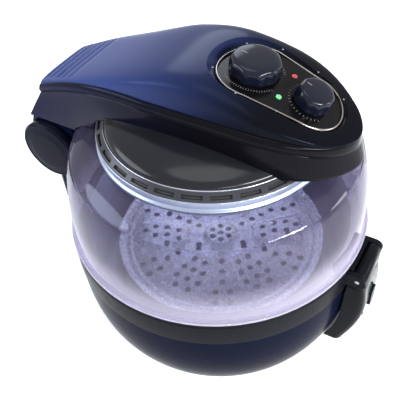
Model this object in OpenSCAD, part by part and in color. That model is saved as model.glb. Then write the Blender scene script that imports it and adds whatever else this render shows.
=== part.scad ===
// Halogen oven: a round base with a lift-out pot, a clear twist-off dome, and a
// hinged top that arches from the rear column over the heating head to a nose
// with the controls. Millimetres, +Z up, front towards -Y. The origin lies on
// the table under the axis of the pot.

/* [Base] */
// Outer radius of the rim band, which is also that of the dome's flange
rim_r = 165; // [155:1:180]
// Height of the rim band's top above the table
rim_z = 138.5; // [125:0.5:160]
// Height of the rim band
band_h = 31.5; // [24:0.5:38]
// How much narrower than the rim the base shell would be at the table
base_foot_inset = 24; // [15:1:37]
// Power of the curve of the base shell: larger is squarer
base_curve = 2.9; // [2:0.1:4]
// Wall of the base shell and of the rim band
base_wall = 3; // [2:0.25:5]
// Height of the rubber feet below the base shell
foot_h = 3; // [2:0.5:8]
// Radius of a foot
foot_r = 11; // [7:0.5:15]
// Distance from the foot of the base shell in to the middle of a rubber foot
foot_inset = 29; // [20:1:45]

/* [Pot and tray] */
// Distance from the rim band's outside in to the pot's inside
pot_inset = 18; // [16:0.5:27]
// Height of the pot's floor above the table
pot_floor_z = 24; // [18:1:40]
// Sheet thickness of the pot
pot_wall = 1.2; // [0.8:0.1:2.5]
// Distance from the pot's inside in to the edge of the perforated tray
tray_inset = 26; // [17:1:47]
// Height of the tray's floor above the table
tray_z = 84; // [60:1:100]
// Radius of one hole in the tray
tray_hole_r = 3.2; // [2:0.1:4.5]
// Radius of the rack's wire
wire_r = 2; // [1.5:0.1:3]

/* [Dome] */
// Distance from the flange's edge in to the dome's wall above it
dome_inset = 4; // [3:0.5:9]
// Height of the dome's shoulder above its flange
dome_shoulder_h = 91; // [75:1:100]
// How much narrower the dome is at its shoulder than above its flange
dome_shoulder_inset = 11; // [7:1:16]
// Height of the dome's neck above its flange
dome_neck_h = 104; // [98:0.5:112]
// Width of the flat neck round the hole in the dome
neck_w = 12; // [9:0.5:16]
// Wall of the dome
dome_wall = 2.5; // [1.5:0.25:4]
// Angle that the dome turns between locked and open
dome_twist = 60; // [20:5:90]

/* [Head] */
// Inner radius of the hole in the dome that the collar passes through
collar_r = 108; // [100:0.5:112]
// Height of the vent ring
vent_ring_h = 8.5; // [6:0.5:12]
// Number of slots in the vent ring
vent_slots = 28; // [16:1:36]
// Rise of the head's top above the vent ring
head_rise = 15; // [8:1:24]
// Radius of the ring of the halogen lamp
lamp_ring_r = 72; // [55:1:85]
// Radius of the halogen lamp's tube
lamp_tube_r = 5; // [4:0.5:7]
// Radius of the hot air fan
fan_r = 46; // [30:1:55]
// Number of blades on the hot air fan
fan_blades = 10; // [6:1:16]
// Radius of the motor
motor_r = 31; // [24:1:36]
// Height of the motor
motor_h = 30; // [22:1:34]

/* [Top housing] */
// How far the tip of the nose's seam lies inside the rim
nose_inset = 18; // [10:1:25]
// How far the top cover's rear edge lies in front of the hinge axis
tail_inset = 2; // [0:1:6]
// Half width of the top cover at its seam
seam_w = 58; // [53:0.5:60]
// Height of the seam above the table, over the head
seam_z = 304; // [299:0.5:309]
// Height of the nose's lower edge above the table
nose_bottom_z = 260; // [256:0.5:266]
// How far the skirt flares out below the seam
skirt_flare = 4; // [4:0.5:9]
// Wall of the housing and of the top cover
housing_wall = 2.6; // [2:0.2:3.6]

/* [Hinge] */
// Distance of the hinge axis behind the rim
hinge_back = 23; // [21:1:30]
// Height of the hinge axis above the table
hinge_z = 185; // [182:1:190]
// Radius of the hinge pin
hinge_pin_r = 4; // [3:0.25:6]
// Radius of the round hinge caps
hinge_cap_r = 36; // [30:1:37]
// Half width of the column's barrel between the arms
barrel_half_w = 28.5; // [22:0.5:32]
// Width of each hinge arm
arm_w = 13.5; // [10:0.5:16]
// Half width of the rear column
column_half_w = 50; // [46:1:58]
// Height of the column's shoulders above the table
column_top_z = 150; // [145:1:151]

/* [Handle] */
// Half width of the handle
handle_half_w = 29; // [26:1:40]
// Height of the handle's pivot above the table
handle_pivot_z = 127; // [122:1:129]
// Height of the handle's lower end above the table
handle_bottom_z = 12; // [8:1:40]
// Radius of the handle's knuckle
handle_knuckle_r = 8.5; // [7:0.25:10]
// Radius of the handle's pin
handle_pin_r = 2.5; // [2:0.25:3.5]

/* [Controls] */
// Slope of the control panel's middle towards the front, in degrees
panel_tilt = 16; // [13:0.5:19]
// Height of the control panel's middle, above the table
panel_z = 318; // [316:0.5:321]
// Radius to which the control panel is bent along its length
panel_bend_r = 220; // [190:5:260]
// Radius of the panel's rear end
panel_rear_r = 36; // [32:0.5:37]
// Radius of the panel's front end
panel_front_r = 30; // [25:0.5:31]
// Width of the metal trim round the panel
trim_w = 4; // [2:0.2:5]
// Radius of the timer knob
timer_knob_r = 24; // [20:0.5:27]
// Radius of the thermostat knob
thermo_knob_r = 17.5; // [13:0.5:19]
// Distance between the two knobs, along the panel
knob_pitch = 57; // [53:0.5:59]
// Height of the timer knob above the panel
timer_knob_h = 15; // [10:0.5:18]
// Radius of an indicator lamp
indicator_r = 2.6; // [2:0.1:4]

/* [Fits] */
// Running clearance between a pin and its bore
pin_clear = 0.05; // [0.01:0.01:0.1]
// Clearance between parts that are seated together
seat_clear = 0.3; // [0.2:0.05:0.5]
// Clearance between parts that slide past each other
move_clear = 1.2; // [0.8:0.1:2]

/* [Hidden] */

round_fn = 96;
small_fn = 32;
bend_fn = 360;
eps = 0.01;

// Colours
navy = [0.06, 0.07, 0.16];
black = [0.04, 0.04, 0.05];
charcoal = [0.17, 0.18, 0.20];
steel = [0.72, 0.74, 0.78];
clear_blue = [0.62, 0.60, 0.85, 0.35];
silver_blue = [0.60, 0.63, 0.74];

// Heights and radii that follow from the sizes above
base_foot_r = rim_r - base_foot_inset;
foot_circle_r = base_foot_r - foot_inset;
pot_r = rim_r - pot_inset;
tray_r = pot_r - tray_inset;
dome_r = rim_r - dome_inset;
dome_shoulder_r = dome_r - dome_shoulder_inset;
dome_neck_r = collar_r + neck_w;
nose_y = rim_r - nose_inset;
hinge_y = rim_r + hinge_back;
tail_y = hinge_y - tail_inset;
band_z = rim_z - band_h;
ledge_z = rim_z - base_wall;
ledge_r = pot_r + pot_wall + 2;
lip_r = rim_r - base_wall - 2;
flange_t = 3.5;
seal_t = 0.8;
flange_z = rim_z + seal_t;
flange_top_z = flange_z + flange_t;
shoulder_z = flange_z + dome_shoulder_h;
neck_z = flange_z + dome_neck_h;
neck_ring_h = 11.4;
vent_z = neck_z + seat_clear + neck_ring_h;
head_z = vent_z + vent_ring_h;
head_r = collar_r + 0.5;

// A round edge in a profile: the points of an arc from angle a to angle b
function arc_points(cx, cy, r, a, b, n) =
    [for (i = [0:n]) [cx + r * cos(a + (b - a) * i / n), cy + r * sin(a + (b - a) * i / n)]];

// Radius of the base shell's outside at height z
function base_r(z, grow = 0) =
    base_foot_r + (rim_r - 1 - base_foot_r) * (1 - pow(max(0, 1 - z / band_z), base_curve)) + grow;

base_steps = 18;
function base_curve_points(z0, z1, grow) =
    [for (i = [0:base_steps]) let (z = z0 + (z1 - z0) * i / base_steps) [base_r(z, grow), z]];

// Everything inside the base's outer surface, grown by a clearance
module base_envelope(grow) {
    rotate_extrude($fn = round_fn)
        polygon(concat([[0, -1]], base_curve_points(-1, band_z, grow),
            [[rim_r + grow, band_z], [rim_r + grow, rim_z + 60], [0, rim_z + 60]]));
}

module base_shell() {
    color(navy)
    rotate_extrude($fn = round_fn)
        polygon(concat(base_curve_points(foot_h, band_z - eps, 0),
            [for (i = [base_steps:-1:0])
                let (z = foot_h + (band_z - eps - foot_h) * i / base_steps) [base_r(z, -base_wall), z]]));
}

module rim_band() {
    color(charcoal)
    rotate_extrude($fn = round_fn)
        polygon([[rim_r - base_wall - 1, band_z], [rim_r, band_z], [rim_r, rim_z],
            [rim_r - base_wall, rim_z], [rim_r - base_wall, ledge_z], [ledge_r, ledge_z],
            [ledge_r, ledge_z - base_wall], [rim_r - base_wall - 1, ledge_z - base_wall]]);
}

plate_r = base_r(foot_h) - base_wall - seat_clear;
plate_t = 3;

module base_plate() {
    vent_count = 24;
    vent_r0 = 60;
    vent_l = 26;
    vent_w = 4;
    color(black)
    difference() {
        translate([0, 0, foot_h])
            cylinder(r = plate_r, h = plate_t, $fn = round_fn);
        for (i = [0:vent_count - 1])
            rotate([0, 0, i * 360 / vent_count + 7.5])
                translate([vent_r0, -vent_w / 2, foot_h - 1])
                    cube([vent_l, vent_w, plate_t + 2]);
        for (place = foot_places)
            translate([place[0], place[1], foot_h - 1])
                cylinder(r = screw_r + seat_clear, h = plate_t + 2, $fn = small_fn);
    }
}

screw_r = 1.9;
screw_head_r = 3.6;

// One foot in the middle, and four in a ring round it
foot_places = concat([[0, 0]],
    [for (i = [0:3]) foot_circle_r * [cos(45 + 90 * i), sin(45 + 90 * i)]]);

module feet() {
    color(black)
    for (place = foot_places)
        translate(place)
            difference() {
                cylinder(r = foot_r, h = foot_h, $fn = small_fn);
                translate([0, 0, 0.5])
                    cylinder(r = screw_head_r + seat_clear, h = foot_h, $fn = small_fn);
            }
}

// One screw above the pad of each foot, up into the base plate
module base_screws() {
    color(steel)
    for (place = foot_places)
        translate([place[0], place[1], 0.7]) {
            cylinder(r = screw_head_r, h = foot_h - 0.7, $fn = small_fn);
            cylinder(r = screw_r, h = foot_h + plate_t + 3, $fn = small_fn);
        }
}

pot_corner_r = 22;
pot_lip_t = 2.2;

function pot_profile(grow) =
    let (r = pot_r + grow, z = pot_floor_z - grow, c = pot_corner_r + grow)
    concat([[0, z]], arc_points(r - c, z + c, c, -90, 0, 8));

// A pressed steel bowl with a rolled lip that hangs on the band's ledge
module pot() {
    color(steel)
    rotate_extrude($fn = round_fn)
        polygon(concat(pot_profile(pot_wall),
            [[pot_r + pot_wall, ledge_z + seat_clear], [lip_r, ledge_z + seat_clear],
             [lip_r, ledge_z + pot_lip_t], [pot_r + 1, ledge_z + pot_lip_t], [pot_r, ledge_z + pot_lip_t - 1]],
            [for (i = [len(pot_profile(0)) - 1:-1:0]) pot_profile(0)[i]]));
}

rack_r = tray_r - 14;
rack_legs = 4;

// Two wire rings joined by legs that stand on the pot's floor
module wire_rack() {
    top_z = tray_z - wire_r;
    low_z = pot_floor_z + wire_r + 0.02;
    color(steel)
    union() {
        for (r = [rack_r, rack_r * 0.5])
            translate([0, 0, top_z])
                rotate_extrude($fn = round_fn)
                    translate([r, 0])
                        circle(r = wire_r, $fn = 16);
        for (i = [0:rack_legs - 1])
            rotate([0, 0, 45 + i * 360 / rack_legs]) {
                translate([0, 0, top_z])
                    rotate([0, 90, 0])
                        cylinder(r = wire_r * 0.9, h = rack_r, $fn = 16);
                translate([rack_r, 0, low_z - wire_r])
                    cylinder(r = wire_r * 0.95, h = top_z - low_z + wire_r, $fn = 16);
            }
    }
}

tray_sheet = 0.8;
tray_rim_h = 7;
tray_hole_rings = 6;
tray_hole_pitch = 15;

// A round pressed tray, ridged near its rim, with rings of holes in its floor
module tray() {
    ridge_h = 1.6;
    floor_r = tray_r - 15;
    color(silver_blue)
    difference() {
        rotate_extrude($fn = round_fn)
            polygon([[0, tray_z], [floor_r, tray_z], [floor_r + 2, tray_z + ridge_h],
                [floor_r + 5, tray_z + ridge_h], [floor_r + 7, tray_z], [floor_r + 9, tray_z + ridge_h],
                [tray_r - 3, tray_z + tray_rim_h - 1], [tray_r, tray_z + tray_rim_h],
                [tray_r, tray_z + tray_rim_h + tray_sheet], [tray_r - 3.4, tray_z + tray_rim_h + tray_sheet - 0.8],
                [floor_r + 8.7, tray_z + ridge_h + tray_sheet], [floor_r + 7, tray_z + tray_sheet],
                [floor_r + 5.2, tray_z + ridge_h + tray_sheet], [floor_r + 1.7, tray_z + ridge_h + tray_sheet],
                [floor_r - 0.2, tray_z + tray_sheet], [0, tray_z + tray_sheet]]);
        for (k = [1:tray_hole_rings], i = [0:k * 6 - 1])
            rotate([0, 0, i * 60 / k + 15 * k])
                translate([k * tray_hole_pitch, 0, tray_z - 1])
                    cylinder(r = tray_hole_r, h = tray_sheet + 2, $fn = 16);
    }
}

// Plan of the rear column, round at its rear corners
column_rear_y = hinge_y + 8;
column_front_y = rim_r - 47;
column_low_z = 14;
column_corner_r = 16;

module column_plan(inset) {
    w = column_half_w - inset;
    y1 = column_rear_y - inset;
    r = column_corner_r - inset;
    polygon(concat([[-w, column_front_y], [w, column_front_y]],
        arc_points(w - r, y1 - r, r, 0, 90, 8), arc_points(r - w, y1 - r, r, 90, 180, 8)));
}

barrel_r = 21;

// Hollow column behind the base, open below, with the hinge barrel on top
module rear_column() {
    color(navy)
    difference() {
        union() {
            difference() {
                translate([0, 0, column_low_z])
                    linear_extrude(height = column_top_z - column_low_z)
                        column_plan(0);
                base_envelope(seat_clear);
            }
            along_x(-barrel_half_w, barrel_half_w)
                polygon(concat([[hinge_y - barrel_r, column_top_z - base_wall]],
                    [for (p = arc_points(hinge_y, hinge_z, barrel_r, 180, 0, 16)) p],
                    [[column_rear_y, column_top_z - base_wall]]));
        }
        difference() {
            translate([0, 0, column_low_z - 1])
                linear_extrude(height = column_top_z - column_low_z + 1 - base_wall)
                    column_plan(base_wall);
            base_envelope(base_wall + seat_clear);
        }
        along_x(-barrel_half_w - 1, barrel_half_w + 1)
            translate([hinge_y, hinge_z])
                circle(r = hinge_pin_r + 0.02, $fn = small_fn);
        along_x(-spring_half_w - 0.2, spring_half_w + 0.2)
            translate([hinge_y, hinge_z])
                circle(r = spring_r + seat_clear, $fn = small_fn);
        gland_hole();
        for (s = [-1, 1])
            translate([s * (arm_x + arm_w / 2), 0, 0])
                along_x(-arm_w / 2 - 0.6, arm_w / 2 + 0.6)
                    translate([hinge_y, hinge_z])
                        circle(r = arm_r + move_clear, $fn = round_fn);
        for (s = [-1, 1])
            translate([s * (cap_x + 20), 0, 0])
                along_x(-20 - move_clear, 20)
                    translate([hinge_y, hinge_z])
                        circle(r = hinge_cap_r + move_clear, $fn = round_fn);
    }
}

arm_x = barrel_half_w + 1;
arm_r = 33;
cap_t = 12;
cap_gap = 3;
cap_x = arm_x + arm_w + cap_gap;

// Extrudes a profile drawn in (y, z) from x0 to x1
module along_x(x0, x1) {
    translate([x0, 0, 0])
        rotate([90, 0, 90])
            linear_extrude(height = x1 - x0)
                children();
}

module column_plate() {
    color(black)
    difference() {
        translate([0, 0, column_low_z])
            linear_extrude(height = base_wall)
                column_plan(base_wall + seat_clear);
        base_envelope(base_wall + 2 * seat_clear);
    }
}

gland_z = 60;
gland_r = 5.5;
gland_bore_r = 3.6;

module gland_hole() {
    translate([0, column_rear_y + 1, gland_z])
        rotate([90, 0, 0])
            cylinder(r = gland_r, h = base_wall + 2, $fn = small_fn);
}

// Bush in the column's rear wall for the mains lead, which isn't fitted
module cord_gland() {
    color(black)
    translate([0, column_rear_y, gland_z])
        rotate([90, 0, 0])
            difference() {
                union() {
                    translate([0, 0, -3])
                        cylinder(r = gland_r + 2.5, h = 3, $fn = small_fn);
                    translate([0, 0, -eps])
                        cylinder(r = gland_r - 0.02, h = base_wall + 3, $fn = small_fn);
                }
                translate([0, 0, -4])
                    cylinder(r = gland_bore_r, h = base_wall + 8, $fn = small_fn);
            }
}

terminal_l = 30;
terminal_d = 12;
terminal_h = 14;
terminal_y = column_rear_y - base_wall - terminal_d - 7;

// Ceramic block on the column's bottom plate, where the mains lead ends
module terminal_block() {
    color("ivory")
    difference() {
        translate([-terminal_l / 2, terminal_y, column_low_z + base_wall])
            cube([terminal_l, terminal_d, terminal_h]);
        for (s = [-1:1])
            translate([s * terminal_l * 0.3, terminal_y + terminal_d / 2, column_low_z + base_wall + 6])
                cylinder(r = 2.2, h = terminal_h - 4, $fn = small_fn);
    }
}

spring_r = 9;
spring_half_w = 18;

module hinge_pin() {
    color(steel)
    along_x(-barrel_half_w - arm_w, barrel_half_w + arm_w)
        translate([hinge_y, hinge_z])
            circle(r = hinge_pin_r, $fn = small_fn);
}

// Torsion spring round the pin, drawn as the sleeve that its turns fill
module hinge_spring() {
    color(steel)
    along_x(-spring_half_w, spring_half_w)
        translate([hinge_y, hinge_z])
            difference() {
                circle(r = spring_r, $fn = small_fn);
                circle(r = hinge_pin_r + 0.3, $fn = small_fn);
            }
}

// Front handle: a bracket with two ears on the band, and a grip that hangs from it
handle_pivot_y = -(rim_r + handle_knuckle_r + 1);
ear_w = 6;
ear_x = handle_half_w - ear_w;
ear_low_z = handle_pivot_z - handle_knuckle_r;
ear_back_y = handle_pivot_y + 40;

module handle_bracket() {
    color(charcoal)
    difference() {
        union() {
            for (s = [-1, 1])
                along_x(s > 0 ? ear_x : -ear_x - ear_w, s > 0 ? ear_x + ear_w : -ear_x)
                    polygon(concat([[ear_back_y, ear_low_z], [handle_pivot_y, ear_low_z]],
                        arc_points(handle_pivot_y, handle_pivot_z, handle_knuckle_r, 265, 90, 12),
                        [[ear_back_y, handle_pivot_z + handle_knuckle_r]]));
            difference() {
                translate([-ear_x - 1, -rim_r - 2.5, ear_low_z])
                    cube([2 * ear_x + 2, 30, rim_z - 0.5 - ear_low_z]);
                along_x(-ear_x, ear_x)
                    translate([handle_pivot_y, handle_pivot_z])
                        circle(r = handle_knuckle_r + 0.4, $fn = 48);
            }
        }
        cylinder(r = rim_r + 0.05, h = rim_z + 30, $fn = 360);
        handle_pin_bore(0.02);
    }
}

module handle_pin_bore(clear) {
    along_x(-handle_half_w - 1, handle_half_w + 1)
        translate([handle_pivot_y, handle_pivot_z])
            circle(r = handle_pin_r + clear, $fn = small_fn);
}

module handle_pin() {
    color(steel)
    along_x(-handle_half_w + 0.5, handle_half_w - 0.5)
        translate([handle_pivot_y, handle_pivot_z])
            circle(r = handle_pin_r, $fn = small_fn);
}

// Side view of the grip: it bulges outwards and its inside follows the base
grip_foot_y = -rim_r - 3;
grip_bulge = 20;
grip_bulge_y = grip_foot_y - grip_bulge;
grip_back_y = -rim_r + 35;
grip_top_z = ear_low_z - 1;
button_z = 80;
button_r = 7;
button_half_h = 8;
button_travel = 3;
button_pocket = 11;

function grip_outside() =
    let (z0 = handle_bottom_z, z1 = grip_top_z)
    [for (i = [0:14]) let (t = i / 14)
        [grip_foot_y - grip_bulge * pow(sin(t * 128), 1.1) * (1 - 0.18 * t), z0 + (z1 - z0) * t]];

module handle() {
    color(black)
    difference() {
        intersection() {
            union() {
                along_x(-handle_half_w, handle_half_w)
                    polygon(concat([[grip_back_y, handle_bottom_z]], grip_outside(),
                        [[handle_pivot_y, grip_top_z], [grip_back_y, grip_top_z]]));
                along_x(-ear_x + 0.5, ear_x - 0.5)
                    union() {
                        translate([handle_pivot_y, handle_pivot_z])
                            circle(r = handle_knuckle_r, $fn = 48);
                        translate([handle_pivot_y - handle_knuckle_r, grip_top_z - 1])
                            square([handle_knuckle_r + 4, handle_pivot_z - grip_top_z + 1]);
                    }
            }
            grip_plan();
        }
        base_envelope(2);
        handle_pin_bore(pin_clear);
        translate([0, -rim_r - 40, button_z])
            button_shape(button_r + seat_clear, 40 + rim_r + grip_bulge_y + button_pocket);
    }
}

// The grip seen from above, rounded at its two front corners
module grip_plan() {
    corner_r = 10;
    front_y = grip_bulge_y - 2;
    linear_extrude(height = rim_z + 20)
        polygon(concat([[handle_half_w, grip_back_y + 10]],
            [for (p = arc_points(handle_half_w - corner_r, front_y + corner_r, corner_r, 0, -90, 8)) p],
            [for (p = arc_points(corner_r - handle_half_w, front_y + corner_r, corner_r, -90, -180, 8)) p],
            [[-handle_half_w, grip_back_y + 10]]));
}

// An upright oblong with round ends, pushed along +Y from its front
module button_shape(r, depth) {
    translate([0, depth, 0])
        rotate([90, 0, 0])
            linear_extrude(height = depth)
                polygon(concat(arc_points(0, button_half_h, r, 0, 180, 16),
                    arc_points(0, -button_half_h, r, 180, 360, 16)));
}

button_front_y = grip_bulge_y - 0.5;
button_depth = 6;

// Release button in the grip's face
module handle_button() {
    color(charcoal)
    translate([0, button_front_y, button_z])
        button_shape(button_r, button_depth);
}

module button_spring() {
    color(steel)
    translate([0, button_front_y + button_depth + seat_clear, button_z])
        rotate([-90, 0, 0])
            difference() {
                cylinder(r = 4, h = button_pocket - button_depth + 0.5 - 2 * seat_clear, $fn = small_fn);
                translate([0, 0, -1])
                    cylinder(r = 3, h = 20, $fn = small_fn);
            }
}

// Outline of the dome's outside from its flange to its neck, in (r, z)
roof_steps = 8;
ledge_in = 2;

function dome_outside(grow) =
    let (zs = shoulder_z, h = neck_z - shoulder_z, rs = dome_shoulder_r - ledge_in)
    concat([[rim_r + grow, flange_z], [rim_r + grow, flange_top_z], [rim_r - 2.5 + grow, flange_top_z + grow]],
        [[dome_r + grow, flange_top_z + 1.5 + grow],
         [dome_r - 1 + grow, flange_z + 32],
         [dome_r - 4 + grow, flange_z + 62],
         [dome_shoulder_r + 3 + grow, flange_z + 80],
         [dome_shoulder_r + grow, zs - 2],
         [rs + grow, zs + grow]],
        [for (i = [1:roof_steps]) let (t = i / roof_steps)
            [rs + (dome_neck_r - rs) * t + grow * (1 - t), zs + h * sin(90 * pow(t, 0.85)) + grow]]);

module dome_clearance() {
    rotate_extrude($fn = round_fn)
        polygon(concat([[0, flange_z - 40], [rim_r + move_clear, flange_z - 40]], dome_outside(move_clear),
            [[0, neck_z + move_clear]]));
}

lug_count = 3;
lug_angle = 24;

// Clear dome with a flange below and an inward rim at its neck
module dome() {
    outside = dome_outside(0);
    roof_start = 9;
    inside = [for (i = [len(outside) - 1:-1:4])
        let (inwards = i < roof_start ? 1 : 0.45, down = i < roof_start ? 0.1 : 0.95)
        [outside[i][0] - dome_wall * inwards, outside[i][1] - dome_wall * down]];
    color(clear_blue)
    difference() {
        rotate_extrude($fn = 144)
            polygon(concat(outside, [[collar_r, neck_z], [collar_r, neck_z - dome_wall]], inside,
                [[dome_r - dome_wall, flange_z]]));
        for (i = [0:lug_count - 1])
            rotate([0, 0, i * 360 / lug_count + dome_twist])
                wedge(collar_r + 5, lug_angle + 3, neck_z - 8, 12, 90);
    }
}

// A sector of a disc, from radius r0 to r, used for the bayonet's lugs and notches
module wedge(r, angle, z, h, r0) {
    translate([0, 0, z])
        linear_extrude(height = h)
            polygon(concat(arc_points(0, 0, r, -angle / 2, angle / 2, 10), arc_points(0, 0, r0, angle / 2, -angle / 2, 10)));
}

// Silicone ring under the dome's flange
module dome_seal() {
    color("dimgray")
    rotate_extrude($fn = round_fn)
        translate([rim_r - base_wall + 0.3, rim_z + 0.02])
            square([base_wall - 1, seal_t - 0.04]);
}

collar_wall = 3;
collar_drop = 14;
collar_low_z = neck_z - collar_drop;
neck_ring_r = dome_neck_r - 1;

// Metal collar that hangs from the head through the dome's neck, with three lugs
module bayonet_collar() {
    color(steel)
    union() {
        rotate_extrude($fn = round_fn)
            translate([collar_r - 0.4 - collar_wall, collar_low_z])
                square([collar_wall, vent_z - collar_low_z - 0.02]);
        for (i = [0:lug_count - 1])
            rotate([0, 0, i * 360 / lug_count])
                wedge(collar_r + 4, lug_angle, neck_z - dome_wall - 3.5, 3.2, collar_r - 1.5);
    }
}

// Silver ring that covers the joint between the dome and the head
module neck_ring() {
    z = neck_z + seat_clear;
    step_w = 2.5;
    color(silver_blue)
    rotate_extrude($fn = round_fn)
        polygon([[collar_r - 0.3, z], [neck_ring_r, z], [neck_ring_r, z + 3],
            [neck_ring_r - step_w, z + 3 + step_w], [neck_ring_r - step_w, z + neck_ring_h - 0.02],
            [collar_r - 0.3, z + neck_ring_h - 0.02]]);
}

vent_r = dome_neck_r - 2.6;
vent_slot_l = 19;
vent_slot_w = 3.4;

// Ring with a sloping face that carries the air slots
module vent_ring() {
    face_r = vent_r - 7;
    mid_r = (vent_r + face_r) / 2;
    mid_z = vent_z + vent_ring_h * 0.5;
    color(black)
    difference() {
        rotate_extrude($fn = round_fn)
            polygon([[collar_r - 8, vent_z], [vent_r, vent_z], [vent_r, vent_z + 2.5],
                [face_r, head_z - 1], [head_r, head_z], [collar_r - 8, head_z], [collar_r - 8, head_z - 2.5],
                [head_r - 1.5, head_z - 2.5], [vent_r - 3, vent_z + 2.4], [collar_r - 8, vent_z + 2.4]]);
        for (i = [0:vent_slots - 1])
            rotate([0, 0, (i + 0.5) * 360 / vent_slots])
                translate([mid_r, 0, mid_z])
                    rotate([0, atan2(vent_ring_h - 3.5, vent_r - face_r), 0])
                        translate([-vent_slot_w / 2, -vent_slot_l / 2, -6])
                            cube([vent_slot_w, vent_slot_l, 12]);
    }
}

head_hole_r = motor_r + 9;
head_steps = 10;
head_wall = 2.4;

function head_curve(grow) =
    [for (i = [0:head_steps]) let (a = 90 * i / head_steps)
        [(head_r - head_hole_r) * cos(a) + head_hole_r + grow * cos(a),
         head_z + 0.02 + head_rise * sin(a) + grow]];

// Dark cover of the head, open in the middle for the motor
module head_shell() {
    color(black)
    rotate_extrude($fn = round_fn)
        polygon(concat([[head_r, head_z + 0.02]], head_curve(0),
            [[head_hole_r, head_z + head_rise - head_wall]],
            [for (i = [head_steps:-1:0]) let (a = 90 * i / head_steps)
                [(head_r - head_hole_r - head_wall) * cos(a) + head_hole_r,
                 head_z + 0.02 + (head_rise - head_wall) * sin(a)]]));
}

module head_clearance() {
    rotate_extrude($fn = round_fn)
        polygon(concat([[0, vent_z - 30], [neck_ring_r + seat_clear, vent_z - 30], [neck_ring_r + seat_clear, vent_z],
            [vent_r + seat_clear, vent_z + 1], [vent_r + seat_clear, vent_z + 2.7],
            [head_r + 1.2, head_z]], head_curve(seat_clear), [[0, head_z + head_rise + seat_clear]]));
}

reflector_z = neck_z + 2;
reflector_r = collar_r - 0.4 - collar_wall - 0.1;
reflector_hole_r = 14;
reflector_rise = 6;
reflector_t = 1.2;
reflector_slot_l = 18;
reflector_slot_w = 4;

reflector_flat_r = fan_r + 6;
reflector_top_z = reflector_z + reflector_rise + reflector_t;

// Bright dish above the lamp, with a ring of slots for the hot air
module reflector() {
    slots = 18;
    color("gainsboro")
    difference() {
        rotate_extrude($fn = round_fn)
            polygon([[reflector_hole_r, reflector_z + reflector_rise], [reflector_flat_r, reflector_z + reflector_rise],
                [reflector_r, reflector_z], [reflector_r, reflector_z + reflector_t],
                [reflector_flat_r + 0.4, reflector_top_z], [reflector_hole_r, reflector_top_z]]);
        for (i = [0:slots - 1])
            rotate([0, 0, i * 360 / slots])
                translate([reflector_hole_r + 10, -reflector_slot_w / 2, reflector_z + reflector_rise - 2])
                    cube([reflector_slot_l, reflector_slot_w, reflector_t + 4]);
    }
}

lamp_z = reflector_z - lamp_tube_r - 1.5;
lamp_gap_angle = 16;

// Ring of quartz tube, open where its two ends enter their holders
module halogen_lamp() {
    color([1, 0.85, 0.6])
    translate([0, 0, lamp_z])
        difference() {
            rotate_extrude($fn = round_fn)
                translate([lamp_ring_r, 0])
                    circle(r = lamp_tube_r, $fn = 24);
            rotate([0, 0, 90])
                wedge(lamp_ring_r + 12, lamp_gap_angle, -10, 20, 20);
        }
}

lamp_clip_angles = [0, 120, 240];
clip_l = 16;
clip_w = 3;
holder_w = 8;

// Ceramic end holders and three clips that hang the lamp from the reflector
module lamp_holders() {
    slope = reflector_rise / (reflector_r - reflector_flat_r);
    clip_top = reflector_z + reflector_rise - (lamp_ring_r + clip_l / 2 - reflector_flat_r) * slope - 0.1;
    color("ivory")
    difference() {
        union() {
            for (a = [-1, 1])
                rotate([0, 0, 90 + a * (lamp_gap_angle / 2 - 3)])
                    translate([lamp_ring_r - clip_l / 2, -holder_w / 2, lamp_z - lamp_tube_r - 2])
                        cube([clip_l, holder_w, clip_top - lamp_z + lamp_tube_r + 2]);
            for (a = lamp_clip_angles)
                rotate([0, 0, a - 30])
                    translate([lamp_ring_r - clip_l / 2 + 0.5, -clip_w / 2, lamp_z - 3])
                        cube([clip_l - 1, clip_w, clip_top - lamp_z + 3]);
        }
        translate([0, 0, lamp_z])
            rotate_extrude($fn = round_fn)
                translate([lamp_ring_r, 0])
                    circle(r = lamp_tube_r + 0.1, $fn = 24);
    }
}

guard_wire_r = 1.2;
guard_z = collar_low_z - 1;
guard_spokes = 6;
guard_post_h = 8;

// Wire guard under the lamp and the fan, clipped inside the collar's lower edge
module lamp_guard() {
    rings = 4;
    ring_step = (reflector_r - 1.4) / rings;
    color(steel)
    union() {
        for (k = [1:rings])
            translate([0, 0, guard_z])
                rotate_extrude($fn = 64)
                    translate([k * ring_step, 0])
                        circle(r = guard_wire_r, $fn = 16);
        for (i = [0:guard_spokes - 1])
            rotate([0, 0, i * 360 / guard_spokes]) {
                translate([0, 0, guard_z])
                    rotate([0, 90, 0])
                        cylinder(r = guard_wire_r * 0.9, h = rings * ring_step, $fn = 16);
                translate([rings * ring_step, 0, guard_z])
                    cylinder(r = guard_wire_r * 0.95, h = guard_post_h, $fn = 16);
            }
    }
}

shaft_r = 3;
fan_blade_h = 11;
fan_hub_r = 11;
fan_z = neck_z - fan_blade_h + 2;
motor_lift = 14;
motor_z = reflector_z + motor_lift;
bearing_r = 9;
bearing_h = 3;
cooling_z = motor_z + motor_h + 4;
cooling_r = motor_r + 6;
cooling_hub_h = 6;
cooling_blade_w = 10;
cooling_blades = 7;

module hot_air_fan() {
    color(steel)
    difference() {
        union() {
            translate([0, 0, fan_z])
                cylinder(r = fan_hub_r, h = fan_blade_h, $fn = small_fn);
            translate([0, 0, fan_z + fan_blade_h - 1])
                cylinder(r = fan_r - 5, h = 1, $fn = round_fn);
            for (i = [0:fan_blades - 1])
                rotate([0, 0, i * 360 / fan_blades])
                    translate([fan_hub_r - 2, -0.6, fan_z])
                        rotate([0, 0, 12])
                            cube([fan_r - fan_hub_r, 1.2, fan_blade_h]);
        }
        translate([0, 0, fan_z - 1])
            cylinder(r = shaft_r, h = fan_blade_h + 2, $fn = small_fn);
    }
}

module motor_shaft() {
    color(steel)
    translate([0, 0, fan_z - 2])
        cylinder(r = shaft_r - 0.01, h = cooling_z + cooling_hub_h + 4 - fan_z, $fn = small_fn);
}

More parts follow.
